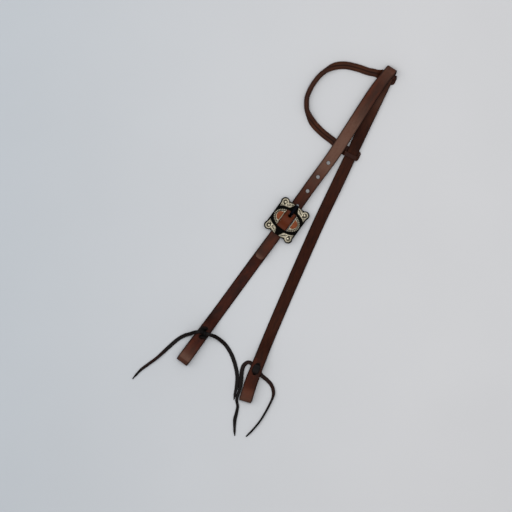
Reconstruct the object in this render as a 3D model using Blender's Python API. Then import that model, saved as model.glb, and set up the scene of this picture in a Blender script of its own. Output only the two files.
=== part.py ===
"""Western headstall with a sliding ear piece, one buckle and two tied bit ends, lying folded on a flat surface.

The crown strap runs from the far bit end over the crown fold and down to the billet, which the buckle holds
above the cheek piece. The far leg threads through slots in both tabs of the ear piece. Each bit end is a turned
back flap tied with a leather lace. Units are metres, +Z is up and the crown lies towards +Y.
"""

import math

import bmesh
import bpy
from mathutils import Matrix, Vector

# Clearances and seats
GAP = 0.0003
JOIN = 0.0002
OVERRUN = 0.004

# Straps
STRAP_WIDTH = 0.0159
BIT_END_WIDTH = 0.0186
LEATHER = 0.003
LEATHER_CORNER = 0.0009
STATION_STEP = 0.011
CLOSE_STEP = 0.004
FOLD_STEPS = 10

# Plan of the two legs, from the crown fold down to the bit ends
NEAR_REACH = 0.5046
NEAR_SPREAD = 0.0493
FAR_REACH = 0.5079
FAR_SPREAD = 0.0541
CROWN_BEND = 0.005
ROUTE_STEPS = 12

# Bit ends: a turned back flap, its loop for the bit and the widening above it
BIT_LOOP_HEIGHT = 0.006
FLAP_LENGTH = 0.064
FLAP_DROP = 0.006
WIDENING = 0.045
LOOP_RISE = 0.024
LOOP_FLOOR = 0.0003

# Laces
LACE_RADIUS = 0.00125
TAIL_RADIUS = 0.002
TAIL_TIP_RADIUS = 0.0009
TAIL_TAPER = 0.04
LACE_HOLE = 0.0046
LACE_HOLE_SPACING = 0.0131
NEAR_TIE_DISTANCE = 0.4557
FAR_TIE_DISTANCE = 0.4628
TWIST_LENGTH = 0.009
TWIST_STEPS = 12
TIE_EXIT = 0.0094
TIE_TURN = 0.0018
TAIL_LEAD = 0.0015
TAIL_STATIONS = 18
under_share = 0.8
turn_share = 0.86

# Buckle
BUCKLE_DISTANCE = 0.2598
BUCKLE_OFFSET = 0.0012
FRAME_HALF_LENGTH = 0.0245
FRAME_HALF_WIDTH = 0.0203
FRAME_THICKNESS = 0.002
FRAME_EDGE = 0.0005
LOBE_RADIUS = 0.0062
LOBE_ALONG = 0.0203
LOBE_ACROSS = 0.0170
WINDOW_CLEARANCE = 0.0017
RIM_WIDTH = 0.003
RIM_HEIGHT = 0.0009
RIM_SEMI_ALONG = 0.0131
RIM_SEMI_ACROSS = 0.0188
RIM_SCALLOPS = 60
RIM_SCALLOP_DEPTH = 0.0004
LIP_WIDTH = 0.0009
LIP_HEIGHT = 0.0006
FIELD_HEIGHT = 0.0005
FIELD_MARGIN = 0.0004
GROUND_DEPTH = 0.0006
GROUND_WIDE = 0.0068
GROUND_NARROW = 0.0026
SCROLL_HEIGHT = 0.0012
SCROLL_INSET = 0.0005
HEEL_RADIUS = 0.00175
LUG_HALF_LENGTH = 0.0042
LUG_WALL = 0.0028
LUG_FOOT = 0.0014
HEEL_CHAMFER = 0.0004

# Tongue
TONGUE_WIDTH = 0.0036
TONGUE_THICKNESS = 0.0018
TONGUE_EYE_WALL = 0.0015
TONGUE_TIP_DISTANCE = 0.0257
TONGUE_SLOT_CLEARANCE = 0.0009
TONGUE_HOLE_DISTANCE = 0.0084
TONGUE_STATIONS = 30

# Billet holes and tip, as distances down the near leg
BILLET_HOLE = 0.005
HOLE_FIRST = 0.1605
HOLE_PITCH = 0.0245
FREE_HOLES = 3
BILLET_END_DISTANCE = 0.3262
BILLET_TIP = 0.0075

# Cheek piece
CHEEK_TURN = 0.0024
TURN_BACK = 0.046
CHEEK_SETTLE = 0.03
CHEEK_LEAD = 0.0014

# Ear piece
EAR_LEATHER = 0.002
EAR_TAB_WIDTH = 0.0143
EAR_TAB_ROUND = 0.004
EAR_TAB_MARGIN = 0.0041
EAR_SLOT_CLEARANCE = 0.0006
EAR_BEND = 0.0014
EAR_ROLL_WIDTH = 0.0104
EAR_ROLL_HEIGHT = 0.006
EAR_SEAM = 0.0008
EAR_NECK = 0.014
EAR_REACH = 0.085
UPPER_TAB_DISTANCE = 0.0150
LOWER_TAB_DISTANCE = 0.1326
EAR_SLIDE = 0.04
EAR_STATIONS = 46

# Routes as shares of each leg's reach and spread, chosen by hand from the crown to the bit end
near_route_shares = (
    (0.0, 0.0),
    (0.0515, 0.089),
    (0.109, 0.142),
    (0.206, 0.189),
    (0.297, 0.235),
    (0.396, 0.339),
    (0.5125, 0.466),
    (0.674, 0.643),
    (0.832, 0.815),
    (1.0, 1.0),
)
far_route_shares = (
    (0.0, 0.0),
    (0.0433, 0.030),
    (0.118, 0.085),
    (0.197, 0.144),
    (0.276, 0.203),
    (0.356, 0.264),
    (0.466, 0.345),
    (0.582, 0.449),
    (0.697, 0.569),
    (0.812, 0.700),
    (0.888, 0.800),
    (0.945, 0.884),
    (1.0, 1.0),
)

# Middle line of the ear piece's roll, as shares of its reach to the side and of the distance between its tabs
ear_route_shares = (
    (0.34, 0.016),
    (0.53, 0.050),
    (0.72, 0.112),
    (0.87, 0.205),
    (0.975, 0.345),
    (1.01, 0.505),
    (0.995, 0.655),
    (0.945, 0.750),
    (0.855, 0.836),
    (0.68, 0.922),
    (0.50, 0.967),
    (0.35, 0.990),
)
neck_share = 0.7

# One corner overlay of the buckle, as shares of the frame's half length and half width
scroll_shares = (
    (0.46, 0.965),
    (0.585, 0.95),
    (0.68, 1.04),
    (0.78, 1.115),
    (0.91, 1.10),
    (1.03, 0.98),
    (1.055, 0.81),
    (0.995, 0.66),
    (0.965, 0.44),
    (0.965, 0.15),
    (0.875, 0.30),
    (0.775, 0.48),
    (0.67, 0.655),
    (0.56, 0.83),
)

# Free ends of the laces, as they lie, in metres from the crown fold
near_left_points = (
    (-0.0552, -0.4600, 0.0118),
    (-0.0580, -0.4630, 0.0085),
    (-0.0627, -0.4690, 0.0048),
    (-0.0684, -0.4804, 0.0024),
    (-0.0725, -0.4950, 0.0022),
    (-0.0769, -0.5087, 0.0022),
    (-0.0817, -0.5176, 0.0022),
    (-0.0885, -0.5314, 0.0022),
    (-0.0940, -0.5433, 0.0022),
    (-0.0978, -0.5591, 0.0022),
)
near_right_points = (
    (-0.0315, -0.4504, 0.0121),
    (-0.0243, -0.4499, 0.0082),
    (-0.0107, -0.4519, 0.0030),
    (0.0014, -0.4575, 0.0022),
    (0.0111, -0.4645, 0.0022),
    (0.0206, -0.4740, 0.0022),
    (0.0283, -0.4845, 0.0022),
    (0.0335, -0.4950, 0.0022),
    (0.0358, -0.5020, 0.0022),
    (0.0381, -0.5085, 0.0022),
    (0.0397, -0.5135, 0.0022),
)
far_left_points = (
    (0.0345, -0.4562, 0.0025),
    (0.0297, -0.4590, 0.0023),
    (0.0279, -0.4655, 0.0022),
    (0.0295, -0.4728, 0.0022),
    (0.0330, -0.4808, 0.0022),
    (0.0368, -0.4890, 0.0022),
    (0.0396, -0.4968, 0.0022),
    (0.0410, -0.5049, 0.0022),
    (0.0437, -0.5124, 0.0022),
    (0.0486, -0.5180, 0.0022),
    (0.0520, -0.5271, 0.0022),
    (0.0549, -0.5369, 0.0022),
    (0.0609, -0.5481, 0.0022),
    (0.0660, -0.5565, 0.0022),
)
far_right_points = (
    (0.0615, -0.4662, 0.0024),
    (0.0665, -0.4657, 0.0022),
    (0.0751, -0.4683, 0.0022),
    (0.0827, -0.4747, 0.0022),
    (0.0862, -0.4826, 0.0022),
    (0.0871, -0.4977, 0.0022),
    (0.0868, -0.5175, 0.0022),
    (0.0843, -0.5336, 0.0022),
    (0.0803, -0.5496, 0.0022),
)


def clear_scene():
    """Removes what the startup scene holds."""
    for obj in list(bpy.data.objects):
        bpy.data.objects.remove(obj, do_unlink=True)


def make_material(name, colour, roughness, metallic=0.0):
    """A Principled material with the part's own colour."""
    made = bpy.data.materials.new(name)
    made.use_nodes = True
    shader = made.node_tree.nodes["Principled BSDF"]
    shader.inputs["Base Color"].default_value = (*colour, 1.0)
    shader.inputs["Roughness"].default_value = roughness
    shader.inputs["Metallic"].default_value = metallic
    made.diffuse_color = (*colour, 1.0)
    return made


def ease(share):
    """A share from 0 to 1 that starts and ends gently."""
    share = min(max(share, 0.0), 1.0)
    return share * share * (3.0 - 2.0 * share)


def profile(knots):
    """A function that runs gently through (distance, value) pairs."""
    ordered = sorted(knots)

    def value(distance):
        if distance <= ordered[0][0]:
            return ordered[0][1]
        for (start, first), (end, second) in zip(ordered, ordered[1:]):
            if distance <= end:
                return first + (second - first) * ease((distance - start) / (end - start))
        return ordered[-1][1]

    return value


def smooth_points(points, steps, closed=False):
    """A Catmull-Rom curve through the points."""
    if closed:
        held = [points[-1], *points, points[0], points[1]]
    else:
        held = [points[0] * 2.0 - points[1], *points, points[-1] * 2.0 - points[-2]]
    curve = []
    for a, b, c, d in zip(held, held[1:], held[2:], held[3:]):
        for step in range(steps):
            t = step / steps
            curve.append(
                (b * 2.0 + (c - a) * t + (a * 2.0 - b * 5.0 + c * 4.0 - d) * t**2 + (b * 3.0 - a - c * 3.0 + d) * t**3)
                / 2.0
            )
    if not closed:
        curve.append(points[-1].copy())
    return curve


class Route:
    """A smooth line with its length measured along it."""

    def __init__(self, points, steps=ROUTE_STEPS):
        self.points = smooth_points(points, steps)
        self.marks = [0.0]
        for a, b in zip(self.points, self.points[1:]):
            self.marks.append(self.marks[-1] + (b - a).length)
        self.length = self.marks[-1]

    def at(self, distance):
        """The point and the heading at a distance from the start."""
        distance = min(max(distance, 0.0), self.length)
        index = 1
        while self.marks[index] < distance and index < len(self.marks) - 1:
            index += 1
        span = self.marks[index] - self.marks[index - 1]
        share = (distance - self.marks[index - 1]) / span
        before = self.points[max(index - 2, 0)]
        after = self.points[min(index + 1, len(self.points) - 1)]
        return self.points[index - 1].lerp(self.points[index], share), (after - before).normalized()

    def even(self, count):
        """That many points at equal spacing."""
        return [self.at(self.length * step / (count - 1))[0] for step in range(count)]


def plan_route(shares, reach, spread):
    """A leg's middle line on the plan, going down from the crown fold."""
    return Route([Vector((spread * across, -reach * along, 0.0)) for along, across in shares])


def side_of(heading):
    """The horizontal direction to the right of a strap that runs away from the crown, seen from above."""
    return Vector((-heading.y, heading.x, 0.0)).normalized()


def section(width, height, corner, steps=1, seam=None):
    """A rounded rectangle's corners as (across, up), with a dip along the middle of its top for a seam."""
    corner = min(corner, width / 2.0 - GAP / 2.0, height / 2.0 - GAP / 2.0)
    outline = []
    for turn, (side, level) in enumerate(((1, 1), (-1, 1), (-1, -1), (1, -1))):
        centre = (side * (width / 2.0 - corner), level * (height / 2.0 - corner))
        for step in range(steps + 1):
            angle = math.pi / 2.0 * (turn + step / steps)
            outline.append((centre[0] + corner * math.cos(angle), centre[1] + corner * math.sin(angle)))
        if turn == 0 and seam is not None:
            outline += [(seam, height / 2.0), (0.0, height / 2.0 - seam), (-seam, height / 2.0)]
    return outline


def loft(name, rings, material):
    """One closed body through rings of equal length, with a flat end at each."""
    mesh = bmesh.new()
    rows = [[mesh.verts.new(point) for point in ring] for ring in rings]
    for first, second in zip(rows, rows[1:]):
        for index in range(len(first)):
            after = (index + 1) % len(first)
            mesh.faces.new((first[index], first[after], second[after], second[index]))
    mesh.faces.new(rows[0])
    mesh.faces.new(rows[-1])
    return finish(name, mesh, material)


def finish(name, mesh, material, angle=math.radians(40.0)):
    """Makes an object of a bmesh, with its faces out and its round sides smooth."""
    bmesh.ops.recalc_face_normals(mesh, faces=mesh.faces)
    data = bpy.data.meshes.new(name)
    mesh.to_mesh(data)
    mesh.free()
    data.shade_smooth()
    data.set_sharp_from_angle(angle=angle)
    obj = bpy.data.objects.new(name, data)
    bpy.context.scene.collection.objects.link(obj)
    if material is not None:
        data.materials.append(material)
    return obj


def strap(name, stations, material):
    """A strap lofted along stations of (point, side, width, thickness, roll, offset, seam)."""
    rings = []
    for index, (point, side, width, thickness, roll, offset, seam) in enumerate(stations):
        before = stations[max(index - 1, 0)][0]
        after = stations[min(index + 1, len(stations) - 1)][0]
        tangent = (after - before).normalized()
        across = (side - tangent * side.dot(tangent)).normalized()
        up = across.cross(tangent)
        turned = Matrix.Rotation(roll, 3, tangent)
        across, up = turned @ across, turned @ up
        corner = thickness / 2.0 if seam is not None else LEATHER_CORNER
        shape = section(width, thickness, corner, 3 if seam is not None else 1, seam)
        rings.append([point + across * (offset + x) + up * y for x, y in shape])
    return loft(name, rings, material)


def flat_station(point, side, width, thickness=LEATHER):
    return (point, side, width, thickness, 0.0, 0.0, None)


def layer(route, start, end, height, width, thickness=lambda distance: LEATHER, spacing=STATION_STEP):
    """Stations of one layer of leather between two distances along a leg."""
    count = max(2, round(abs(end - start) / spacing))
    stations = []
    for step in range(count + 1):
        distance = start + (end - start) * step / count
        point, heading = route.at(distance)
        point = point + Vector((0.0, 0.0, height(distance)))
        stations.append(flat_station(point, side_of(heading), width(distance), thickness(distance)))
    return stations


def fold(first, second, heading, steps=FOLD_STEPS):
    """Stations of the half turn between two layers, one above the other."""
    radius = (second[0].z - first[0].z) / 2.0
    stations = []
    for step in range(1, steps):
        share = step / steps
        angle = math.pi * share
        middle = first[0].lerp(second[0], share)
        middle.z = first[0].z + radius - radius * math.cos(angle)
        point = middle + heading * abs(radius) * math.sin(angle)
        width = first[2] + (second[2] - first[2]) * share
        thickness = first[3] + (second[3] - first[3]) * share
        stations.append(flat_station(point, first[1].lerp(second[1], share), width, thickness))
    return stations


def cut(obj, cutter):
    """Takes the cutter's volume out of the object."""
    cutter.hide_render = True
    cutter.display_type = "WIRE"
    change = obj.modifiers.new("cut " + cutter.name, "BOOLEAN")
    change.operation = "DIFFERENCE"
    change.solver = "EXACT"
    change.object = cutter


def join(obj, other):
    """Adds the other's volume to the object."""
    other.hide_render = True
    other.display_type = "WIRE"
    change = obj.modifiers.new("join " + other.name, "BOOLEAN")
    change.operation = "UNION"
    change.solver = "EXACT"
    change.object = other


def prism(name, outline, bottom, top, material=None):
    """An outline of (x, y) points raised between two heights."""
    mesh = bmesh.new()
    face = mesh.faces.new([mesh.verts.new((x, y, bottom)) for x, y in outline])
    raised = bmesh.ops.extrude_face_region(mesh, geom=[face])
    corners = [item for item in raised["geom"] if isinstance(item, bmesh.types.BMVert)]
    bmesh.ops.translate(mesh, vec=Vector((0.0, 0.0, top - bottom)), verts=corners)
    return finish(name, mesh, material)


def round_outline(radius, count=20, centre=(0.0, 0.0)):
    return [
        (
            centre[0] + radius * math.cos(2.0 * math.pi * step / count),
            centre[1] + radius * math.sin(2.0 * math.pi * step / count),
        )
        for step in range(count)
    ]


def box_outline(half_x, half_y):
    return [(-half_x, -half_y), (half_x, -half_y), (half_x, half_y), (-half_x, half_y)]


def in_place(obj, matrix):
    """Moves an object's mesh into the plan, so that its own origin stays at the root's."""
    obj.data.transform(matrix)
    if matrix.determinant() < 0.0:
        obj.data.flip_normals()
    return obj


def frame_at(route, distance, across=0.0):
    """A local frame on a leg: +X towards the crown, +Y across to the left and +Z up."""
    point, heading = route.at(distance)
    side = side_of(heading)
    turned = Matrix((-heading, -side, Vector((0.0, 0.0, 1.0)))).transposed().to_4x4()
    return Matrix.Translation(point + side * across) @ turned


def punch(obj, name, frame, radius, bottom, top, along=0.0):
    """A round hole through one or more layers of leather."""
    hole = prism(name, round_outline(radius, centre=(along, 0.0)), bottom - OVERRUN, top + OVERRUN)
    cut(obj, in_place(hole, frame))


def tube(name, points, radius, material, resolution, narrowing=None):
    """A closed round tube along the points, with a share of the radius for each where it narrows."""
    curve = bpy.data.curves.new(name, "CURVE")
    curve.dimensions = "3D"
    curve.bevel_depth = radius
    curve.bevel_resolution = resolution
    curve.use_fill_caps = True
    spline = curve.splines.new("POLY")
    spline.points.add(len(points) - 1)
    for target, point in zip(spline.points, points):
        target.co = (*point, 1.0)
    for target, share in zip(spline.points, narrowing or []):
        target.radius = share
    curve.materials.append(material)
    obj = bpy.data.objects.new(name, curve)
    bpy.context.scene.collection.objects.link(obj)
    return obj


clear_scene()

crown_leather = make_material("crown leather", (0.045, 0.016, 0.009), 0.5)
cheek_leather = make_material("cheek leather", (0.043, 0.015, 0.009), 0.5)
ear_leather = make_material("ear leather", (0.040, 0.014, 0.008), 0.48)
lace_leather = make_material("lace leather", (0.010, 0.009, 0.009), 0.45)
silver = make_material("antiqued silver", (0.60, 0.57, 0.52), 0.28, 1.0)
dark_silver = make_material("blackened ground", (0.05, 0.045, 0.04), 0.5, 1.0)
copper = make_material("copper field", (0.42, 0.17, 0.08), 0.35, 1.0)
steel = make_material("dark steel", (0.12, 0.13, 0.15), 0.3, 1.0)

near_route = plan_route(near_route_shares, NEAR_REACH, -NEAR_SPREAD)
far_route = plan_route(far_route_shares, FAR_REACH, FAR_SPREAD)

# Heights of the stack at the crown: ear tab, far leg, ear tab's outer band, near leg
EAR_BASE = EAR_LEATHER / 2.0
FAR_LEVEL = EAR_LEATHER + GAP + LEATHER / 2.0
EAR_OVER = FAR_LEVEL + LEATHER / 2.0 + GAP + EAR_LEATHER / 2.0
NEAR_OVER_TAB = EAR_OVER + EAR_LEATHER / 2.0 + GAP * 3.0 + LEATHER / 2.0
NEAR_OVER_ROLL = EAR_ROLL_HEIGHT + GAP * 3.0 + LEATHER / 2.0
CROWN_START = CROWN_BEND + LEATHER / 2.0
CROWN_TOP = FAR_LEVEL + CROWN_BEND * 2.0

# Heights of the stack at the buckle: turn-back, cheek, billet, frame, and the heel bar in its loop
HEEL_LOOP = HEEL_RADIUS + GAP + CHEEK_TURN / 2.0
HEEL_LEVEL = CHEEK_TURN / 2.0 + HEEL_LOOP
CHEEK_LEVEL = CHEEK_TURN + GAP + LEATHER / 2.0
BILLET_LEVEL = CHEEK_LEVEL + LEATHER / 2.0 + GAP + LEATHER / 2.0
BILLET_OVER_HEEL = HEEL_LEVEL + HEEL_LOOP + CHEEK_TURN / 2.0 + GAP + LEATHER / 2.0
FRAME_BOTTOM = BILLET_LEVEL + LEATHER / 2.0 + GAP
FRAME_TOP = FRAME_BOTTOM + FRAME_THICKNESS
WINDOW_HALF = STRAP_WIDTH / 2.0 + WINDOW_CLEARANCE
RIM_INNER_ALONG = RIM_SEMI_ALONG - RIM_WIDTH / 2.0
RIM_INNER_ACROSS = RIM_SEMI_ACROSS - RIM_WIDTH / 2.0

# Heights at the bit ends, from the lace under or over both layers
LOOP_BEND = (BIT_LOOP_HEIGHT + LEATHER) / 2.0
LOOP_LOW = LOOP_FLOOR + LEATHER / 2.0
LOOP_HIGH = LOOP_LOW + LOOP_BEND * 2.0
TWIST_OFFSET = LACE_RADIUS + GAP / 2.0
BRIDGE_LEVEL = GAP + LACE_RADIUS
NEAR_FLAP = BRIDGE_LEVEL + LACE_RADIUS + GAP + LEATHER / 2.0
NEAR_MAIN = NEAR_FLAP + LEATHER + GAP
NEAR_KNOT = NEAR_MAIN + LEATHER / 2.0 + GAP + LACE_RADIUS + TWIST_OFFSET
FAR_KNOT = GAP + LACE_RADIUS + TWIST_OFFSET
FAR_MAIN = FAR_KNOT + TWIST_OFFSET + LACE_RADIUS + GAP + LEATHER / 2.0
FAR_FLAP = FAR_MAIN + LEATHER + GAP
FAR_BRIDGE = FAR_FLAP + LEATHER / 2.0 + GAP + LACE_RADIUS
FLAT = LEATHER / 2.0

near_end = near_route.length - LOOP_BEND - LEATHER / 2.0
far_end = far_route.length - LOOP_BEND - LEATHER / 2.0
HOLE_HALF = LACE_HOLE_SPACING / 2.0


def width_to(tie):
    """A leg's width, which grows from above its tie to the bit end."""
    return profile(((tie - WIDENING, STRAP_WIDTH), (tie + WIDENING, BIT_END_WIDTH)))


near_width = width_to(NEAR_TIE_DISTANCE)
far_width = width_to(FAR_TIE_DISTANCE)


def make_crown_strap():
    """The far bit end, the far leg, the crown fold, the near leg and the billet, as one strap."""
    flap_start = far_end + LOOP_BEND + LEATHER / 2.0 - FLAP_LENGTH
    rise_start = FAR_TIE_DISTANCE - HOLE_HALF - LOOP_RISE
    main_height = profile(
        (
            (0.0, FAR_LEVEL),
            (LOWER_TAB_DISTANCE + EAR_SLIDE + EAR_TAB_WIDTH, FAR_LEVEL),
            (LOWER_TAB_DISTANCE + EAR_SLIDE + EAR_TAB_WIDTH + CHEEK_SETTLE, FLAT),
            (rise_start - LOOP_RISE, FLAT),
            (FAR_TIE_DISTANCE - HOLE_HALF, FAR_MAIN),
            (FAR_TIE_DISTANCE + HOLE_HALF, FAR_MAIN),
            (far_end - LEATHER, LOOP_LOW),
        )
    )
    flap_height = profile(
        (
            (flap_start, FAR_FLAP),
            (FAR_TIE_DISTANCE + HOLE_HALF, FAR_FLAP),
            (far_end - LEATHER, LOOP_HIGH),
        )
    )
    near_height = profile(
        (
            (CROWN_START, CROWN_TOP),
            (UPPER_TAB_DISTANCE - EAR_TAB_WIDTH / 4.0, NEAR_OVER_TAB + LEATHER / 2.0),
            (UPPER_TAB_DISTANCE + EAR_TAB_WIDTH / 2.0, NEAR_OVER_TAB),
            (UPPER_TAB_DISTANCE + EAR_TAB_WIDTH + EAR_SLIDE, NEAR_OVER_TAB),
            (LOWER_TAB_DISTANCE - EAR_TAB_WIDTH, NEAR_OVER_ROLL),
            (LOWER_TAB_DISTANCE + EAR_SLIDE + EAR_TAB_WIDTH, NEAR_OVER_ROLL),
            (BUCKLE_DISTANCE - FRAME_HALF_LENGTH, BILLET_LEVEL),
            (BUCKLE_DISTANCE - RIM_INNER_ALONG * 0.85, BILLET_LEVEL),
            (BUCKLE_DISTANCE - HEEL_RADIUS, BILLET_OVER_HEEL),
            (BUCKLE_DISTANCE + HEEL_RADIUS, BILLET_OVER_HEEL),
            (BUCKLE_DISTANCE + RIM_INNER_ALONG * 0.85, BILLET_LEVEL),
        )
    )

    def billet_width(distance):
        share = min((BILLET_END_DISTANCE - distance) / BILLET_TIP, 1.0)
        return STRAP_WIDTH * (0.36 + 0.64 * math.sqrt(max(1.0 - (1.0 - share) ** 2, 0.0)))

    flap = layer(far_route, flap_start, far_end, flap_height, far_width, spacing=CLOSE_STEP)
    main = layer(far_route, far_end, rise_start, main_height, far_width, spacing=CLOSE_STEP)
    main += layer(far_route, rise_start, CROWN_START, main_height, far_width)[1:]
    upper = layer(near_route, CROWN_START, BUCKLE_DISTANCE - FRAME_HALF_LENGTH, near_height, near_width)
    held_start = BUCKLE_DISTANCE - FRAME_HALF_LENGTH
    held_end = BUCKLE_DISTANCE + FRAME_HALF_LENGTH
    held = []
    held_count = 28
    for step in range(1, held_count + 1):
        distance = held_start + (held_end - held_start) * step / held_count
        held += layer(near_route, distance, distance, near_height, near_width)[:1]
    tail = layer(near_route, held_end, BILLET_END_DISTANCE - BILLET_TIP, near_height, near_width)[1:]
    tip = []
    tip_count = 7
    for step in range(1, tip_count + 1):
        distance = BILLET_END_DISTANCE - BILLET_TIP * (1.0 - step / tip_count) ** 1.6
        tip += layer(near_route, distance, distance, near_height, billet_width)[:1]
    out = far_route.at(far_route.length)[1]
    back = -(far_route.at(0.0)[1] + near_route.at(0.0)[1]).normalized()
    stations = flap + fold(flap[-1], main[0], out) + main + fold(main[-1], upper[0], back) + upper + held + tail + tip
    obj = strap("crown_strap", stations, crown_leather)
    for side, name in ((-1.0, "upper"), (1.0, "lower")):
        frame = frame_at(far_route, FAR_TIE_DISTANCE + side * HOLE_HALF)
        punch(obj, "far lace hole " + name, frame, LACE_HOLE / 2.0, 0.0, FAR_BRIDGE)
    for index in range(FREE_HOLES):
        distance = HOLE_FIRST + HOLE_PITCH * index
        level = near_height(distance)
        frame = frame_at(near_route, distance, BUCKLE_OFFSET)
        punch(obj, "billet hole %d" % index, frame, BILLET_HOLE / 2.0, level - LEATHER / 2.0, level + LEATHER / 2.0)
    frame = frame_at(near_route, BUCKLE_DISTANCE - TONGUE_HOLE_DISTANCE, BUCKLE_OFFSET)
    punch(obj, "tongue's hole", frame, BILLET_HOLE / 2.0, BILLET_LEVEL, FRAME_TOP)
    return obj


def make_cheek_piece():
    """The near bit end, the cheek and its loop round the heel bar."""
    flap_start = near_end + LOOP_BEND + LEATHER / 2.0 - FLAP_LENGTH + FLAP_DROP
    back_end = BUCKLE_DISTANCE + TURN_BACK
    inside = BUCKLE_DISTANCE + RIM_INNER_ALONG * 0.85
    held = profile(
        (
            (BUCKLE_DISTANCE + HEEL_RADIUS - CHEEK_LEAD, BILLET_OVER_HEEL),
            (inside - CHEEK_LEAD, BILLET_LEVEL),
        )
    )
    thickness = profile(((BUCKLE_DISTANCE + HEEL_RADIUS, CHEEK_TURN), (inside, LEATHER)))
    lying = profile(
        (
            (back_end + LEATHER, CHEEK_LEVEL),
            (back_end + LEATHER + CHEEK_SETTLE, FLAT),
            (flap_start - LOOP_RISE, FLAT),
            (flap_start, NEAR_MAIN),
            (NEAR_TIE_DISTANCE + HOLE_HALF, NEAR_MAIN),
            (near_end - LEATHER, LOOP_HIGH),
        )
    )

    def main_height(distance):
        if distance < inside:
            return held(distance) - LEATHER / 2.0 - GAP - thickness(distance) / 2.0
        return lying(distance)

    flap_height = profile(
        (
            (flap_start, NEAR_FLAP),
            (NEAR_TIE_DISTANCE + HOLE_HALF, NEAR_FLAP),
            (near_end - LEATHER, LOOP_LOW),
        )
    )

    def back_height(distance):
        return CHEEK_TURN / 2.0

    def skived(distance):
        return CHEEK_TURN

    flap = layer(near_route, flap_start, near_end, flap_height, near_width, spacing=CLOSE_STEP)
    main = layer(near_route, near_end, flap_start - LOOP_RISE, main_height, near_width, spacing=CLOSE_STEP)
    main += layer(near_route, flap_start - LOOP_RISE, inside, main_height, near_width)[1:]
    window = []
    window_count = 10
    for step in range(1, window_count + 1):
        distance = inside + (BUCKLE_DISTANCE - inside) * step / window_count
        window += layer(near_route, distance, distance, main_height, near_width, thickness)[:1]
    back = layer(near_route, BUCKLE_DISTANCE, back_end, back_height, near_width, skived)
    out = near_route.at(near_route.length)[1]
    inward = -near_route.at(BUCKLE_DISTANCE)[1]
    stations = flap + fold(flap[-1], main[0], out) + main + window + fold(window[-1], back[0], inward) + back
    obj = strap("cheek_piece", stations, cheek_leather)
    for side, name in ((-1.0, "upper"), (1.0, "lower")):
        frame = frame_at(near_route, NEAR_TIE_DISTANCE + side * HOLE_HALF)
        punch(obj, "near lace hole " + name, frame, LACE_HOLE / 2.0, 0.0, NEAR_KNOT)
    half = TONGUE_WIDTH / 2.0 + TONGUE_SLOT_CLEARANCE
    reach = HEEL_RADIUS + GAP + TONGUE_EYE_WALL + OVERRUN
    slot = prism("tongue slot", box_outline(reach, half), -OVERRUN, FRAME_TOP)
    cut(obj, in_place(slot, frame_at(near_route, BUCKLE_DISTANCE, BUCKLE_OFFSET)))
    return obj


def ear_axes():
    """The line that the far leg takes through both tabs, and the direction across it."""
    upper = far_route.at(UPPER_TAB_DISTANCE)[0]
    lower = far_route.at(LOWER_TAB_DISTANCE)[0]
    down = (lower - upper).normalized()
    return upper, lower, down, side_of(down)


def make_ear_tab(name, centre, down, side, outward, material=None):
    """A slotted tab: a flat half under the far leg and a half that arches over it."""
    half = STRAP_WIDTH / 2.0 + EAR_TAB_MARGIN
    foot = STRAP_WIDTH / 2.0 + EAR_SLOT_CLEARANCE
    wall = foot + EAR_LEATHER / 2.0
    turned = Matrix((side, down * outward, Vector((0.0, 0.0, 1.0)))).transposed().to_4x4()
    frame = Matrix.Translation(centre) @ turned
    edge = EAR_TAB_WIDTH / 2.0
    outline = [(-half, edge), (-half, -edge)]
    for level in (-1.0, 1.0):
        for step in range(5):
            angle = math.pi / 8.0 * (step - 2.0 + 2.0 * level)
            x = half - EAR_TAB_ROUND + EAR_TAB_ROUND * math.cos(angle)
            outline.append((x, level * (edge - EAR_TAB_ROUND) + EAR_TAB_ROUND * math.sin(angle)))
    tab = in_place(prism(name, outline, 0.0, EAR_LEATHER, material), frame)
    clear = wall + EAR_LEATHER / 2.0
    window = [(-clear, 0.0), (clear, 0.0), (clear, EAR_TAB_WIDTH), (-clear, EAR_TAB_WIDTH)]
    cut(tab, in_place(prism(name + " slot", window, -OVERRUN, EAR_LEATHER + OVERRUN), frame))
    knots = [
        (half - JOIN, EAR_BASE),
        (wall, EAR_BASE),
        (wall, EAR_OVER),
        (-wall, EAR_OVER),
        (-wall, EAR_BASE),
        (JOIN - half, EAR_BASE),
    ]
    stations = []
    for x, z in rounded_line(knots, EAR_BEND, 4):
        past = max(x - (half - EAR_TAB_ROUND), 0.0)
        outer = edge - EAR_TAB_ROUND + math.sqrt(EAR_TAB_ROUND**2 - past**2) - JOIN
        width = outer - GAP
        point = frame @ Vector((x, GAP + width / 2.0, z))
        across = frame.to_3x3() @ Vector((0.0, 1.0, 0.0))
        stations.append((point, across, width, EAR_LEATHER - JOIN, 0.0, 0.0, None))
    join(tab, strap(name + " arch", stations, None))
    return tab


def rounded_line(knots, radius, steps):
    """A line through corners, each turned with the same radius."""
    line = [knots[0]]
    for before, corner, after in zip(knots, knots[1:], knots[2:]):
        corner = Vector(corner)
        start = corner + (Vector(before) - corner).normalized() * radius
        end = corner + (Vector(after) - corner).normalized() * radius
        centre = start + end - corner
        for step in range(steps + 1):
            angle = math.pi / 2.0 * step / steps
            point = centre + (start - centre) * math.cos(angle) + (end - centre) * math.sin(angle)
            line.append((point.x, point.y))
    line.append(knots[-1])
    return line


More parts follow.
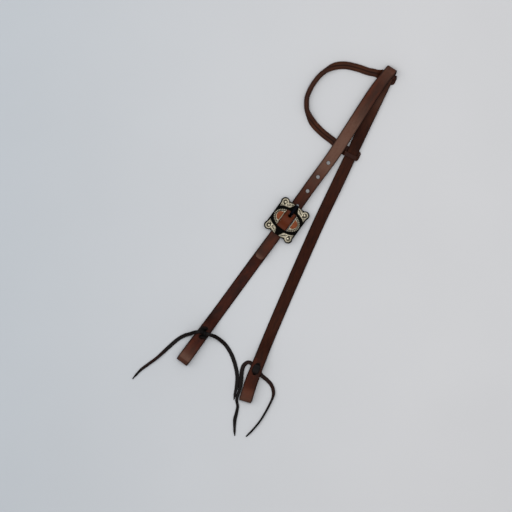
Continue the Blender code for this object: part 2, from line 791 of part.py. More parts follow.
def make_ear_piece():
    """The ear piece: a roll of leather on its side round the bend, flattened into a slotted tab at each end."""
    upper, lower, down, side = ear_axes()
    span = (lower - upper).length
    root = STRAP_WIDTH / 2.0 + EAR_TAB_MARGIN - EAR_LEATHER / 2.0
    neck = root + EAR_NECK * neck_share
    route = [upper - side * root, upper - side * neck]
    route += [upper - side * (EAR_REACH * out) + down * (span * along) for out, along in ear_route_shares]
    route += [lower - side * neck, lower - side * root]
    line = Route(route)
    standing = profile(((0.26, 0.0), (0.40, 1.0), (0.62, 1.0), (0.76, 0.0)))
    stations = []
    for step in range(EAR_STATIONS + 1):
        distance = line.length * step / EAR_STATIONS
        point, heading = line.at(distance)
        from_end = min(distance, line.length - distance)
        rolled = ease((from_end - EAR_LEATHER) / EAR_NECK)
        width = EAR_TAB_WIDTH - JOIN * 2.0 + (EAR_ROLL_WIDTH - EAR_TAB_WIDTH) * rolled
        height = EAR_LEATHER - JOIN * 2.0 + (EAR_ROLL_HEIGHT - EAR_LEATHER) * rolled
        roll = math.pi / 2.0 * standing(distance / line.length)
        level = height / 2.0 + (width - height) / 2.0 * math.sin(roll) + JOIN
        point = point + Vector((0.0, 0.0, level))
        seam = JOIN / 2.0 + (EAR_SEAM - JOIN) * rolled
        stations.append((point, side_of(heading), width, height, roll, 0.0, seam))
    obj = strap("ear_piece", stations, ear_leather)
    join(obj, make_ear_tab("upper tab", upper, down, side, -1.0))
    join(obj, make_ear_tab("lower tab", lower, down, side, 1.0))
    return obj


buckle_place = frame_at(near_route, BUCKLE_DISTANCE, BUCKLE_OFFSET)


def on_rim(semi_along, semi_across, angle):
    return (semi_along * math.cos(angle), semi_across * math.sin(angle))


def make_buckle_frame():
    """The plate with its window, recessed grounds, window lips and the two lugs that hold the heel bar."""
    plate = prism("buckle_frame", box_outline(FRAME_HALF_LENGTH, FRAME_HALF_WIDTH), FRAME_BOTTOM, FRAME_TOP, silver)
    bevel = plate.modifiers.new("soft edge", "BEVEL")
    bevel.width = FRAME_EDGE
    bevel.segments = 2
    bevel.limit_method = "ANGLE"
    for index, (along, across) in enumerate(((1, 1), (-1, 1), (-1, -1), (1, -1))):
        centre = (along * LOBE_ALONG, across * LOBE_ACROSS)
        lobe = prism(
            "lobe %d" % index,
            round_outline(LOBE_RADIUS, 24, centre),
            FRAME_BOTTOM + JOIN / 2.0,
            FRAME_TOP - JOIN / 2.0,
        )
        join(plate, in_place(lobe, buckle_place))
    window = []
    count = 10
    limit = math.asin(WINDOW_HALF / RIM_INNER_ACROSS)
    for end in (0.0, math.pi):
        for step in range(count + 1):
            angle = end - limit + 2.0 * limit * step / count
            window.append(on_rim(RIM_INNER_ALONG, RIM_INNER_ACROSS, angle))
    cut(plate, in_place(prism("window", window, FRAME_BOTTOM - OVERRUN, FRAME_TOP + OVERRUN), buckle_place))
    near = RIM_SEMI_ALONG + RIM_WIDTH / 2.0
    far = FRAME_HALF_LENGTH - FRAME_EDGE * 2.0
    for end in (1.0, -1.0):
        ground = [(end * near, -GROUND_WIDE), (end * far, -GROUND_NARROW), (end * far, GROUND_NARROW)]
        ground.append((end * near, GROUND_WIDE))
        cutter = prism("ground %s" % end, ground[:: int(end)], FRAME_TOP - GROUND_DEPTH, FRAME_TOP + OVERRUN)
        cut(plate, in_place(cutter, buckle_place))
    inner = WINDOW_HALF + GAP
    reach = RIM_INNER_ALONG * math.cos(math.asin((inner + LIP_WIDTH) / RIM_INNER_ACROSS)) - FIELD_MARGIN
    for side in (1.0, -1.0):
        lip = prism("lip %s" % side, box_outline(reach, LIP_WIDTH / 2.0), FRAME_TOP - JOIN, FRAME_TOP + LIP_HEIGHT)
        shift = Matrix.Translation((0.0, side * (inner + LIP_WIDTH / 2.0), 0.0))
        join(plate, in_place(lip, buckle_place @ shift))
        foot = HEEL_LEVEL - HEEL_RADIUS - LUG_FOOT
        lug = prism(
            "lug %s" % side,
            box_outline(LUG_HALF_LENGTH, LUG_WALL / 2.0),
            foot,
            FRAME_BOTTOM + FRAME_THICKNESS / 2.0,
        )
        shift = Matrix.Translation((0.0, side * (inner + LIP_WIDTH + LUG_WALL / 2.0), 0.0))
        join(plate, in_place(lug, buckle_place @ shift))
    in_place(plate, buckle_place)
    bore_half = inner + LIP_WIDTH + LUG_WALL + OVERRUN
    bore = prism("heel bar bore", round_outline(HEEL_RADIUS + GAP), -bore_half, bore_half)
    cut(plate, in_place(bore, buckle_place @ heel_turn()))
    return plate


def heel_turn():
    """Turns an upright axis to lie across the strap at the heel bar's height."""
    return Matrix.Translation((0.0, 0.0, HEEL_LEVEL)) @ Matrix.Rotation(math.pi / 2.0, 4, "X")


def make_heel_bar():
    half = WINDOW_HALF + GAP + LIP_WIDTH + LUG_WALL
    bar = prism("heel_bar", round_outline(HEEL_RADIUS, 24), -half, half, steel)
    bevel = bar.modifiers.new("chamfer", "BEVEL")
    bevel.width = HEEL_CHAMFER
    bevel.segments = 1
    bevel.limit_method = "ANGLE"
    bevel.angle_limit = math.radians(60.0)
    return in_place(bar, buckle_place @ heel_turn())


def make_scroll(index, along, across):
    """A corner overlay: a round lobe that runs out into a leaf along each edge."""
    corners = [Vector((x * FRAME_HALF_LENGTH * along, y * FRAME_HALF_WIDTH * across, 0.0)) for x, y in scroll_shares]
    outline = smooth_points(corners, 3, closed=True)
    mesh = bmesh.new()
    bottom = FRAME_TOP + GAP
    face = mesh.faces.new([mesh.verts.new((point.x, point.y, bottom)) for point in outline])
    face.normal_update()
    if face.normal.z < 0.0:
        face.normal_flip()
    raised = bmesh.ops.extrude_face_region(mesh, geom=[face])
    points = [item for item in raised["geom"] if isinstance(item, bmesh.types.BMVert)]
    bmesh.ops.translate(mesh, vec=Vector((0.0, 0.0, SCROLL_HEIGHT / 2.0)), verts=points)
    top = [item for item in raised["geom"] if isinstance(item, bmesh.types.BMFace)]
    bmesh.ops.inset_region(mesh, faces=top, thickness=SCROLL_INSET, depth=SCROLL_HEIGHT / 2.0, use_even_offset=True)
    obj = finish("corner_scroll_%d" % index, mesh, silver)
    return in_place(obj, buckle_place)


def make_rim():
    """The oval rim of small beads round the window, as one turned moulding with a scalloped outer edge."""
    mesh = bmesh.new()
    steps = RIM_SCALLOPS * 3
    bottom = FRAME_TOP + GAP
    rows = []
    for share, height in ((-0.5, 0.0), (-0.5, 0.45), (0.0, 1.0), (0.5, 0.45), (0.5, 0.0)):
        ring = []
        for step in range(steps):
            angle = 2.0 * math.pi * step / steps
            swell = abs(math.sin(angle * RIM_SCALLOPS / 2.0))
            offset = RIM_WIDTH * share
            if share > 0.0:
                offset -= RIM_SCALLOP_DEPTH * (1.0 - swell)
            x, y = on_rim(RIM_SEMI_ALONG + offset, RIM_SEMI_ACROSS + offset, angle)
            rise = RIM_HEIGHT * height
            if share == 0.0:
                rise -= RIM_SCALLOP_DEPTH * (1.0 - swell)
            ring.append(mesh.verts.new((x, y, bottom + rise)))
        rows.append(ring)
    for first, second in zip(rows, [*rows[1:], rows[0]]):
        for index in range(steps):
            after = (index + 1) % steps
            mesh.faces.new((first[index], first[after], second[after], second[index]))
    return in_place(finish("bead_rim", mesh, silver), buckle_place)


def make_field(name, side):
    """The coloured field between the rim and the lip beside the strap."""
    base = WINDOW_HALF + GAP + LIP_WIDTH + FIELD_MARGIN
    along = RIM_INNER_ALONG - FIELD_MARGIN
    across = RIM_INNER_ACROSS - FIELD_MARGIN
    start = math.asin(base / across)
    count = 16
    outline = [on_rim(along, across, start + (math.pi - 2.0 * start) * step / count) for step in range(count + 1)]
    outline = [(x, y * side) for x, y in outline]
    bottom = FRAME_TOP + GAP
    return in_place(prism(name, outline, bottom, bottom + FIELD_HEIGHT, copper), buckle_place)


def make_tongue():
    """The tongue: an eye round the heel bar and a bar that rises through the billet and rests past the end bar."""
    eye = HEEL_RADIUS + GAP
    outer = eye + TONGUE_EYE_WALL
    crest = FRAME_TOP + GAP + RIM_HEIGHT + GAP + TONGUE_THICKNESS / 2.0
    hole_low = BILLET_LEVEL - LEATHER / 2.0
    knots = [
        (outer - TONGUE_THICKNESS / 2.0, HEEL_LEVEL),
        (TONGUE_HOLE_DISTANCE * 0.64, HEEL_LEVEL + TONGUE_THICKNESS / 8.0),
        (TONGUE_HOLE_DISTANCE * 0.91, hole_low),
        (TONGUE_HOLE_DISTANCE * 1.09, FRAME_BOTTOM - GAP),
        (RIM_INNER_ALONG * 0.99, crest - TONGUE_THICKNESS / 8.0),
        (RIM_SEMI_ALONG * 1.18, crest + TONGUE_THICKNESS / 3.0),
        (FRAME_HALF_LENGTH * 0.86, crest),
        (TONGUE_TIP_DISTANCE, FRAME_TOP + GAP + TONGUE_THICKNESS / 2.0),
    ]
    line = Route([Vector((along, 0.0, level)) for along, level in knots])
    stations = []
    for step in range(TONGUE_STATIONS + 1):
        share = step / TONGUE_STATIONS
        point = line.at(line.length * share)[0]
        narrow = 1.0 - 0.28 * ease((share - 0.75) / 0.25)
        width = TONGUE_WIDTH * narrow
        stations.append((point, Vector((0.0, 1.0, 0.0)), width, TONGUE_THICKNESS, 0.0, 0.0, None))
    arm = strap("tongue_bar", stations, None)
    ring = prism("buckle_tongue", round_outline(outer, 28), -TONGUE_WIDTH / 2.0, TONGUE_WIDTH / 2.0, steel)
    in_place(ring, heel_turn())
    join(ring, arm)
    bore = prism("tongue bore", round_outline(eye, 28), -TONGUE_WIDTH, TONGUE_WIDTH)
    cut(ring, in_place(bore, heel_turn()))
    for piece in (ring, arm, bore):
        in_place(piece, buckle_place)
    return ring


def make_tie(name, route, distance, knot, bridge, above, hand):
    """A lace through both holes with its half knot: its two strands turn once round each other between the exits."""
    frame = frame_at(route, distance)
    close = knot - above * TWIST_OFFSET / 2.0
    half = [
        (0.0, 0.0, bridge),
        (HOLE_HALF * under_share, 0.0, bridge),
        (HOLE_HALF, 0.0, bridge + above * LEATHER),
        (HOLE_HALF, 0.0, bridge + above * (LEATHER + LEATHER)),
        (HOLE_HALF + TIE_TURN / 4.0, TIE_TURN / 2.0, close),
        (HOLE_HALF * turn_share, TWIST_LENGTH / 3.0, close),
        (TIE_TURN * 2.0, TWIST_LENGTH / 2.0 + TIE_TURN * 0.75, close),
    ]
    for step in range(TWIST_STEPS + 1):
        angle = 2.0 * math.pi * step / TWIST_STEPS
        across = TWIST_LENGTH * (0.5 - step / TWIST_STEPS)
        lift = TWIST_OFFSET * math.sin(angle)
        half.append((TWIST_OFFSET * math.cos(angle), across, knot + above * lift))
    half.append((TWIST_OFFSET, -TIE_EXIT, knot))
    whole = [(-x, -y, z) for x, y, z in half[:0:-1]] + half
    line = Route([frame @ Vector((x, y * hand, z)) for x, y, z in whole], 1)
    obj = tube(name, line.points, LACE_RADIUS, lace_leather, 2)
    exits = {}
    for share in (0.0, 1.0):
        point, heading = line.at(line.length * share)
        heading = heading if share else -heading
        exits["right" if heading.x > 0.0 else "left"] = (point, heading)
    return obj, exits


def make_tail(name, start, points):
    """A free end of lace that starts against the knot, follows the points and narrows to its cut tip."""
    point, heading = start
    lead = [point + heading * GAP, point + heading * (GAP + TAIL_LEAD)]
    line = Route([lead[1]] + [Vector(place) for place in points])
    stations, shares = [lead[0]], [1.0]
    for step, station in enumerate(line.even(TAIL_STATIONS)):
        left = line.length * (1.0 - step / (TAIL_STATIONS - 1))
        tip = TAIL_TIP_RADIUS / TAIL_RADIUS
        shares.append(tip + (1.0 - tip) * min(left / TAIL_TAPER, 1.0))
        stations.append(station - Vector((0.0, 0.0, TAIL_RADIUS * (1.0 - shares[-1]))))
    return tube(name, stations, TAIL_RADIUS, lace_leather, 2, shares)


def stand(pieces, parent, pivot):
    """Hangs pieces on an empty that sits on their joint's axis."""
    for piece in pieces:
        piece.parent = parent
        if piece.type == "MESH":
            piece.data.transform(Matrix.Translation(-pivot))
        else:
            for spline in piece.data.splines:
                for point in spline.points:
                    point.co.xyz = point.co.xyz - pivot


def make_empty(name, place, parent=None):
    empty = bpy.data.objects.new(name, None)
    empty.empty_display_size = STRAP_WIDTH
    empty.location = place
    empty.parent = parent
    bpy.context.scene.collection.objects.link(empty)
    return empty


def with_cutters(obj):
    """An object and every shape that its modifiers use."""
    found = [obj]
    for change in obj.modifiers:
        if change.type == "BOOLEAN":
            found += with_cutters(change.object)
    return found


def footprint(pieces):
    """The lowest and highest corners of the pieces together."""
    bpy.context.view_layer.update()
    graph = bpy.context.evaluated_depsgraph_get()
    corners = []
    for piece in pieces:
        shape = piece.evaluated_get(graph)
        corners += [shape.matrix_world @ vertex.co for vertex in shape.to_mesh().vertices]
        shape.to_mesh_clear()
    low = Vector([min(corner[axis] for corner in corners) for axis in range(3)])
    high = Vector([max(corner[axis] for corner in corners) for axis in range(3)])
    return low, high


crown = make_crown_strap()
cheek = make_cheek_piece()
ear = make_ear_piece()
frame_plate = make_buckle_frame()
heel_bar = make_heel_bar()
tongue = make_tongue()
rim = make_rim()
fields = [make_field("copper_field_left", 1.0), make_field("copper_field_right", -1.0)]
scrolls = []
for number, (along, across) in enumerate(((1.0, 1.0), (1.0, -1.0), (-1.0, 1.0), (-1.0, -1.0)), 1):
    scrolls.append(make_scroll(number, along, across))
near_tie, near_exits = make_tie("near_tie_lace", near_route, NEAR_TIE_DISTANCE, NEAR_KNOT, BRIDGE_LEVEL, 1.0, 1.0)
far_tie, far_exits = make_tie("far_tie_lace", far_route, FAR_TIE_DISTANCE, FAR_KNOT, FAR_BRIDGE, -1.0, -1.0)
near_tails = [
    make_tail("near_tail_left", near_exits["left"], near_left_points),
    make_tail("near_tail_right", near_exits["right"], near_right_points),
]
far_tails = [
    make_tail("far_tail_left", far_exits["left"], far_left_points),
    make_tail("far_tail_right", far_exits["right"], far_right_points),
]

held = [crown, frame_plate, heel_bar, rim, *fields, *scrolls, far_tie]
swinging = [cheek, near_tie]
low, high = footprint([*held, *swinging, ear, tongue])
middle = (low + high) / 2.0
root = make_empty("headstall", Vector((-middle.x, -middle.y, -low.z)))
heel_axis = buckle_place @ Vector((0.0, 0.0, HEEL_LEVEL))
cheek_pivot = make_empty("cheek_pivot", heel_axis, root)
tongue_pivot = make_empty("tongue_pivot", heel_axis, root)
ear_start = far_route.at(UPPER_TAB_DISTANCE)[0]
ear_carrier = make_empty("ear_carrier", ear_start, root)
for piece in [*held, *far_tails]:
    stand(with_cutters(piece), root, Vector((0.0, 0.0, 0.0)))
for piece in [*swinging, *near_tails]:
    stand(with_cutters(piece), cheek_pivot, heel_axis)
stand(with_cutters(tongue), tongue_pivot, heel_axis)
stand(with_cutters(ear), ear_carrier, ear_start)
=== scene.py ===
# %% [markdown]
# # A western headstall, folded on a table
#
# A headstall is the bridle part that carries the bit: one long strap over the horse's neck, a buckle on the near
# side, a rolled loop for an ear, and a folded, laced loop at each end for the bit. This lesson dresses the packed
# model of one in oiled leather and antiqued silver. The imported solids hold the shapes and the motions, and each
# piece below takes the place of one of them, on nearly the same lines, with the finer form and finish of the real
# thing.

# %% Tools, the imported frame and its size
import math

import bmesh
import bpy
import numpy as np
from mathutils import Matrix, Vector
from mathutils.geometry import delaunay_2d_cdt


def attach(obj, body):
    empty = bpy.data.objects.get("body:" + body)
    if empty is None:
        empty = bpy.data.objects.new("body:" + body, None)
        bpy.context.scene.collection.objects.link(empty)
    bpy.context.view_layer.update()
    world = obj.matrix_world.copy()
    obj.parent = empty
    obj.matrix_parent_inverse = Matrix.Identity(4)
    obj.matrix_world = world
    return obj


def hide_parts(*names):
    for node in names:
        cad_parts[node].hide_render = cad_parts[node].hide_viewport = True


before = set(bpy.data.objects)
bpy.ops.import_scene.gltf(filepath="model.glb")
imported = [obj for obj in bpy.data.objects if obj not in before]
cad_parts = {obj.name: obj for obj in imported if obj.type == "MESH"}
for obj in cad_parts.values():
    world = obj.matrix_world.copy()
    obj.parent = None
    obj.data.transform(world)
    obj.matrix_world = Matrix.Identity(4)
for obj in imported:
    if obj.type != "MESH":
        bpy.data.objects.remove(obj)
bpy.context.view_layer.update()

# %% [markdown]
# ## The camera
#
# The headstall was laid on a board and seen from straight above, from far enough away that nothing leans. An
# orthographic camera gives that view. Its frame is as wide as the board that it shows, and it is turned by thirty
# degrees, because the headstall lies aslant on the board.

# %% The camera above the board
BOARD_SEEN = 0.7168
BOARD_TURN = math.radians(30.0)
lens = bpy.data.cameras.new("camera")
lens.type = "ORTHO"
lens.ortho_scale = BOARD_SEEN
camera = bpy.data.objects.new("camera", lens)
camera.location = (-0.0242, -0.0689, 1.3)
camera.rotation_euler = (0.0, 0.0, BOARD_TURN)
bpy.context.scene.collection.objects.link(camera)
bpy.context.scene.camera = camera
print("the view is %.0f mm wide" % (BOARD_SEEN * 1000))

# %% [markdown]
# ## Sizes
#
# Most sizes of the leather and of the buckle are those of the solids, so each piece lies where its solid does. Only
# the plate is 1.9 mm wider on each side than its solid, and the legs and the ear loop are a little fuller. The
# plan's origin is the crown fold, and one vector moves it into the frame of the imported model.

# %% Sizes of leather, laces and buckle, in metres
PLAN_TO_FRAME = Vector((0.00987, 0.25466, 0.0))
GAP = 0.0003
STRAP_WIDTH, BIT_END_WIDTH, LEATHER = 0.0159, 0.0186, 0.003
NEAR_TIE, FAR_TIE = 0.4557, 0.4628
LACE_HOLE, LACE_HOLE_SPACING = 0.0046, 0.0131
BIT_TURN, FLAP_LENGTH = 0.006, 0.064
BUCKLE_DISTANCE, BUCKLE_OFFSET = 0.2598, 0.0006
FRAME_LONG, FRAME_WIDE, FRAME_THICK = 0.0245, 0.0222, 0.002
HEEL_RADIUS, TONGUE_HOLE = 0.00175, 0.0084
UPPER_TAB, LOWER_TAB = 0.0150, 0.1326
EAR_LEATHER, EAR_TAB_WIDTH = 0.002, 0.0143
EAR_ROLL_WIDTH, EAR_ROLL_HEIGHT = 0.0104, 0.006
print("straps %.1f mm wide, plate %.0f mm by %.0f mm" % (STRAP_WIDTH * 1000, FRAME_LONG * 2000, FRAME_WIDE * 2000))

# %% [markdown]
# ## Lines that leather follows
#
# A strap is a long thing that follows a line, so every soft piece here starts as one. A few given points
# are joined by a Catmull-Rom curve, which passes through each point, and the curve is measured along its length.
# Heights along a strap are given the same way, as a few levels with gentle steps between them.

# %% Gentle steps
UP = Vector((0.0, 0.0, 1.0))


def ease(share):
    """A share from 0 to 1 that starts and ends gently."""
    share = min(max(share, 0.0), 1.0)
    return share * share * (3.0 - 2.0 * share)


def profile(knots):
    """A function that runs gently through (distance, value) pairs."""
    ordered = sorted(knots)

    def value(distance):
        if distance <= ordered[0][0]:
            return ordered[0][1]
        for (start, first), (end, second) in zip(ordered, ordered[1:]):
            if distance <= end:
                return first + (second - first) * ease((distance - start) / (end - start))
        return ordered[-1][1]

    return value


# %% Smooth lines, measured along their length


def smooth_points(points, steps, closed=False):
    """A Catmull-Rom curve through the points."""
    if closed:
        held = [points[-1], *points, points[0], points[1]]
    else:
        held = [points[0] * 2.0 - points[1], *points, points[-1] * 2.0 - points[-2]]
    curve = []
    for a, b, c, d in zip(held, held[1:], held[2:], held[3:]):
        for step in range(steps):
            t = step / steps
            curve.append(
                (b * 2.0 + (c - a) * t + (a * 2.0 - b * 5.0 + c * 4.0 - d) * t**2 + (b * 3.0 - a - c * 3.0 + d) * t**3)
                / 2.0
            )
    if not closed:
        curve.append(points[-1].copy())
    return curve


class Route:
    """A smooth line with its length measured along it."""

    def __init__(self, points, steps=12):
        self.points = smooth_points(points, steps)
        self.marks = [0.0]
        for a, b in zip(self.points, self.points[1:]):
            self.marks.append(self.marks[-1] + (b - a).length)
        self.length = self.marks[-1]

    def at(self, distance):
        """The point and the heading at a distance from the start."""
        distance = min(max(distance, 0.0), self.length)
        index = 1
        while self.marks[index] < distance and index < len(self.marks) - 1:
            index += 1
        share = (distance - self.marks[index - 1]) / (self.marks[index] - self.marks[index - 1])
        before = self.points[max(index - 2, 0)]
        after = self.points[min(index + 1, len(self.points) - 1)]
        return self.points[index - 1].lerp(self.points[index], share), (after - before).normalized()

    def cut(self, start, end, count):
        """That many points at equal spacing between two distances."""
        return [self.at(start + (end - start) * step / (count - 1))[0] for step in range(count)]


# %% Legs, and frames on them


def plan_route(shares, reach, spread):
    """A leg's line from shares of its reach towards the bit and of its spread to the side."""
    return Route([PLAN_TO_FRAME + Vector((spread * across, -reach * along, 0.0)) for along, across in shares])


def side_of(heading):
    """The level direction across a strap, which is +X where the strap runs straight down from the crown."""
    return Vector((-heading.y, heading.x, 0.0)).normalized()


def frame_at(route, distance, across=0.0):
    """A local frame on a leg: +X towards the crown, +Y across to the left and +Z up."""
    point, heading = route.at(distance)
    side = side_of(heading)
    turned = Matrix((-heading, -side, UP)).transposed().to_4x4()
    return Matrix.Translation(point + side * across) @ turned


# %% [markdown]
# The near leg and the far leg start together at the crown fold and part towards the bit. Both are bent a little
# from lying folded, so each line goes through ten or more points, given as shares of its reach and of its spread.

# %% The two legs of the strap, from the crown fold to the bit ends
near_shares = ((0, 0), (0.0515, 0.080), (0.109, 0.127), (0.206, 0.174), (0.297, 0.226), (0.396, 0.337))
near_shares += ((0.5125, 0.454), (0.674, 0.643), (0.832, 0.818), (1, 1.012))
far_shares = ((0, 0), (0.0433, 0.030), (0.118, 0.085), (0.197, 0.144), (0.276, 0.203), (0.356, 0.264), (0.466, 0.345))
far_shares += ((0.582, 0.459), (0.697, 0.581), (0.812, 0.712), (0.888, 0.812), (0.945, 0.895), (1, 1.008))
near_route = plan_route(near_shares, 0.5046, -0.0493)
far_route = plan_route(far_shares, 0.5079, 0.0541)
print("near leg %.4f m, far leg %.4f m" % (near_route.length, far_route.length))

# %% [markdown]
# ## Heights of the stack
#
# Where straps cross they lie on each other: the ear piece's tab under the far leg, its other half over it, and the
# near leg on top. At the buckle the cheek piece, the billet and the silver frame are stacked the same way. Each
# level is worked out from the ones below it, as it is in the solids.

# %% Levels, worked out from the leather's thickness
EAR_BASE = EAR_LEATHER / 2.0
FAR_LEVEL = EAR_LEATHER + GAP + LEATHER / 2.0
EAR_OVER = FAR_LEVEL + LEATHER / 2.0 + GAP + EAR_LEATHER / 2.0
NEAR_OVER_TAB = EAR_OVER + EAR_LEATHER / 2.0 + GAP * 3.0 + LEATHER / 2.0
NEAR_OVER_ROLL = EAR_ROLL_HEIGHT + GAP * 3.0 + LEATHER / 2.0
CROWN_BEND = 0.005
CROWN_START = CROWN_BEND + LEATHER / 2.0
CROWN_TOP = FAR_LEVEL + CROWN_BEND * 2.0
CHEEK_TURN = 0.0024
HEEL_LOOP = HEEL_RADIUS + GAP + CHEEK_TURN / 2.0
HEEL_LEVEL = CHEEK_TURN / 2.0 + HEEL_LOOP
CHEEK_LEVEL = CHEEK_TURN + GAP + LEATHER / 2.0
BILLET_LEVEL = CHEEK_LEVEL + LEATHER / 2.0 + GAP + LEATHER / 2.0
BILLET_OVER_HEEL = HEEL_LEVEL + HEEL_LOOP + CHEEK_TURN / 2.0 + GAP + LEATHER / 2.0
FRAME_BOTTOM = BILLET_LEVEL + LEATHER / 2.0 + GAP
FRAME_TOP = FRAME_BOTTOM + FRAME_THICK
LACE_RADIUS = 0.00125
STRAND = LACE_RADIUS + GAP / 2.0
LOOP_LOW = GAP + LEATHER / 2.0
BIT_LOOP = 0.009
LOOP_HIGH = LOOP_LOW + BIT_LOOP
BRIDGE = GAP + LACE_RADIUS
NEAR_FLAP = BRIDGE + LACE_RADIUS + GAP + LEATHER / 2.0
NEAR_MAIN = NEAR_FLAP + LEATHER + GAP
NEAR_KNOT = NEAR_MAIN + LEATHER / 2.0 + GAP + LACE_RADIUS + STRAND
FAR_KNOT = GAP + LACE_RADIUS + STRAND
FAR_MAIN = FAR_KNOT + STRAND + LACE_RADIUS + GAP + LEATHER / 2.0
FAR_FLAP = FAR_MAIN + LEATHER + GAP
FAR_BRIDGE = FAR_FLAP + LEATHER / 2.0 + GAP + LACE_RADIUS
HOLE_HALF = LACE_HOLE_SPACING / 2.0
near_end = near_route.length - BIT_TURN
far_end = far_route.length - BIT_TURN


def width_to(tie, *upper_part):
    """A leg's width, which grows from above its tie to the bit end."""
    return profile((*upper_part, (tie - 0.045, 0.0166), (tie + 0.045, BIT_END_WIDTH)))


near_width = width_to(NEAR_TIE, (0.01, STRAP_WIDTH), (0.045, 0.0176), (0.12, 0.0176), (0.21, 0.0166))
far_width = width_to(FAR_TIE, (0.13, STRAP_WIDTH), (0.17, 0.0167))
print("frame plate from %.1f to %.1f mm above the board" % (FRAME_BOTTOM * 1000, FRAME_TOP * 1000))

# %% [markdown]
# ## Materials
#
# Everything here is leather or metal. Each material is a small network of nodes: one function adds a node with its
# settings and links, and colours are written as the usual sRGB hex values, which Blender needs as linear numbers.

# %% Node and colour helpers
MATH, VECTOR, MIX = "ShaderNodeMath", "ShaderNodeVectorMath", "ShaderNodeMix"
RANGE, NOISE, JOIN_XYZ = "ShaderNodeMapRange", "ShaderNodeTexNoise", "ShaderNodeCombineXYZ"


def linear(code, alpha=1.0):
    """An sRGB hex colour as the linear values that a shader takes."""
    parts = [int(code[place : place + 2], 16) / 255.0 for place in (1, 3, 5)]
    return (*[part / 12.92 if part <= 0.04045 else ((part + 0.055) / 1.055) ** 2.4 for part in parts], alpha)


def new_material(name):
    """A material with an empty network."""
    made = bpy.data.materials.new(name)
    made.use_nodes = True
    made.node_tree.nodes.clear()
    return made, made.node_tree


def add_node(tree, kind, settings=None, links=None):
    """Adds one node. Settings are its properties or, for a name or number of an input, that input's value."""
    node = tree.nodes.new(kind)
    for key, value in (settings or {}).items():
        if isinstance(key, str) and hasattr(node, key):
            setattr(node, key, value)
        else:
            node.inputs[key].default_value = value
    for key, source in (links or {}).items():
        tree.links.new(source, node.inputs[key])
    return node


print("chestnut as linear values:", [round(value, 4) for value in linear("#4D1F0C")])

# %% [markdown]
# ### Oiled harness leather
#
# The straps are vegetable tanned cowhide, dyed chestnut, oiled and hand rubbed. The dye takes unevenly, so the
# brown wanders between a deep red-brown and a warmer one over a centimetre or two. The grain side has fine pores
# and a crease line pressed in along each edge, the cut edges are burnished nearly black, and the flesh side is
# duller and fibrous. Handling lifts the oil and leaves paler stretches, and the same paler and darker coats also
# carry painted light: painted highlights on the folds, a painted reflection on the near leg and painted shadows.
# All patterns follow the strap, so they read three UV maps that the strap maker writes: "lie" holds metres along
# and across, "state" how near the edge and which side, and "wear_and_light" how pale or how dark a place has
# become, by wear and by painted light and shade.

# %% The leather's patterns


def leather_patterns(tree, mottle, rough):
    """What the leather's colours and relief are made of, by name. Sizes are millimetres on the strap."""
    lie, state, wear_and_light = [add_node(tree, "ShaderNodeUVMap", {"uv_map": label}) for label in ("lie", "state", "wear_and_light")]
    flat = add_node(tree, VECTOR, {"operation": "SCALE", "Scale": 1000.0}, {0: lie.outputs[0]})
    place, sides, wear_and_light_shift = [
        add_node(tree, "ShaderNodeSeparateXYZ", links={0: source.outputs[0]}).outputs for source in (flat, state, wear_and_light)
    ]
    depth = add_node(tree, MATH, {"operation": "MULTIPLY", 1: 3.0}, {0: sides["Y"]})
    spot = add_node(tree, JOIN_XYZ, links={"X": place["X"], "Y": place["Y"], "Z": depth.outputs[0]})
    found = {"near edge": sides["X"], "side": sides["Y"], "pale": wear_and_light_shift["X"]}
    # Four noises, stretched along or across the strap, with features 1 / scale millimetres apart
    for label, stretch, scale, detail, share in (
        ("cloud", (0.45, 1.0, 1.0), 1.0 / mottle, 4.0, 0.6),
        ("fleck", (1.0, 1.0, 1.0), 0.55, 3.0, 0.65),
        ("grain", (0.35, 1.6, 1.0), 0.22, 2.0, 0.5),
        ("fibre", (0.16, 1.7, 1.0), 0.6, 3.0, 0.6),
    ):
        drawn = add_node(tree, VECTOR, {"operation": "MULTIPLY", 1: stretch}, {0: spot.outputs[0]})
        settings = {"Scale": scale, "Detail": detail, "Roughness": share}
        found[label] = add_node(tree, NOISE, settings, {"Vector": drawn.outputs[0]}).outputs["Fac"]
    pores = add_node(tree, "ShaderNodeTexVoronoi", {"Scale": 1.4, "Randomness": 1.0}, {"Vector": spot.outputs[0]})
    # The edge's inner border, which wavers with the flecks
    border = add_node(tree, MATH, {"operation": "MULTIPLY_ADD", 1: 0.10}, {0: found["fleck"], 2: sides["X"]})
    # How much of each pattern shows, as (name, source, from, to, least, most)
    for label, source, low, high, least, most in (
        ("warmed", found["cloud"], 0.36, 0.66, 0.0, 1.0),
        ("flecked", found["fleck"], 0.44, 0.74, 0.0, 0.38),
        ("under", sides["Y"], -0.2, -0.8, 0.0, 1.0),
        ("fibred", found["fibre"], 0.35, 0.7, 0.0, 1.0),
        ("grained", found["grain"], 0.45, 0.75, 0.0, 0.5),
        ("darkened", wear_and_light_shift["Y"], 0.0, 1.0, 0.0, 1.0),
        ("dyed", wear_and_light_shift["Y"], 0.0, -1.0, 0.0, 1.0),
        ("rim", border.outputs[0], 0.86, 1.03, 0.0, 1.0),
        ("pored", pores.outputs["Distance"], 0.0, 0.45, 0.0, 0.35),
        ("glossed", found["cloud"], 0.0, 1.0, rough - 0.06, rough + 0.12),
    ):
        settings = {"From Min": low, "From Max": high, "To Min": least, "To Max": most}
        found[label] = add_node(tree, RANGE, settings, {"Value": source}).outputs[0]
    return found
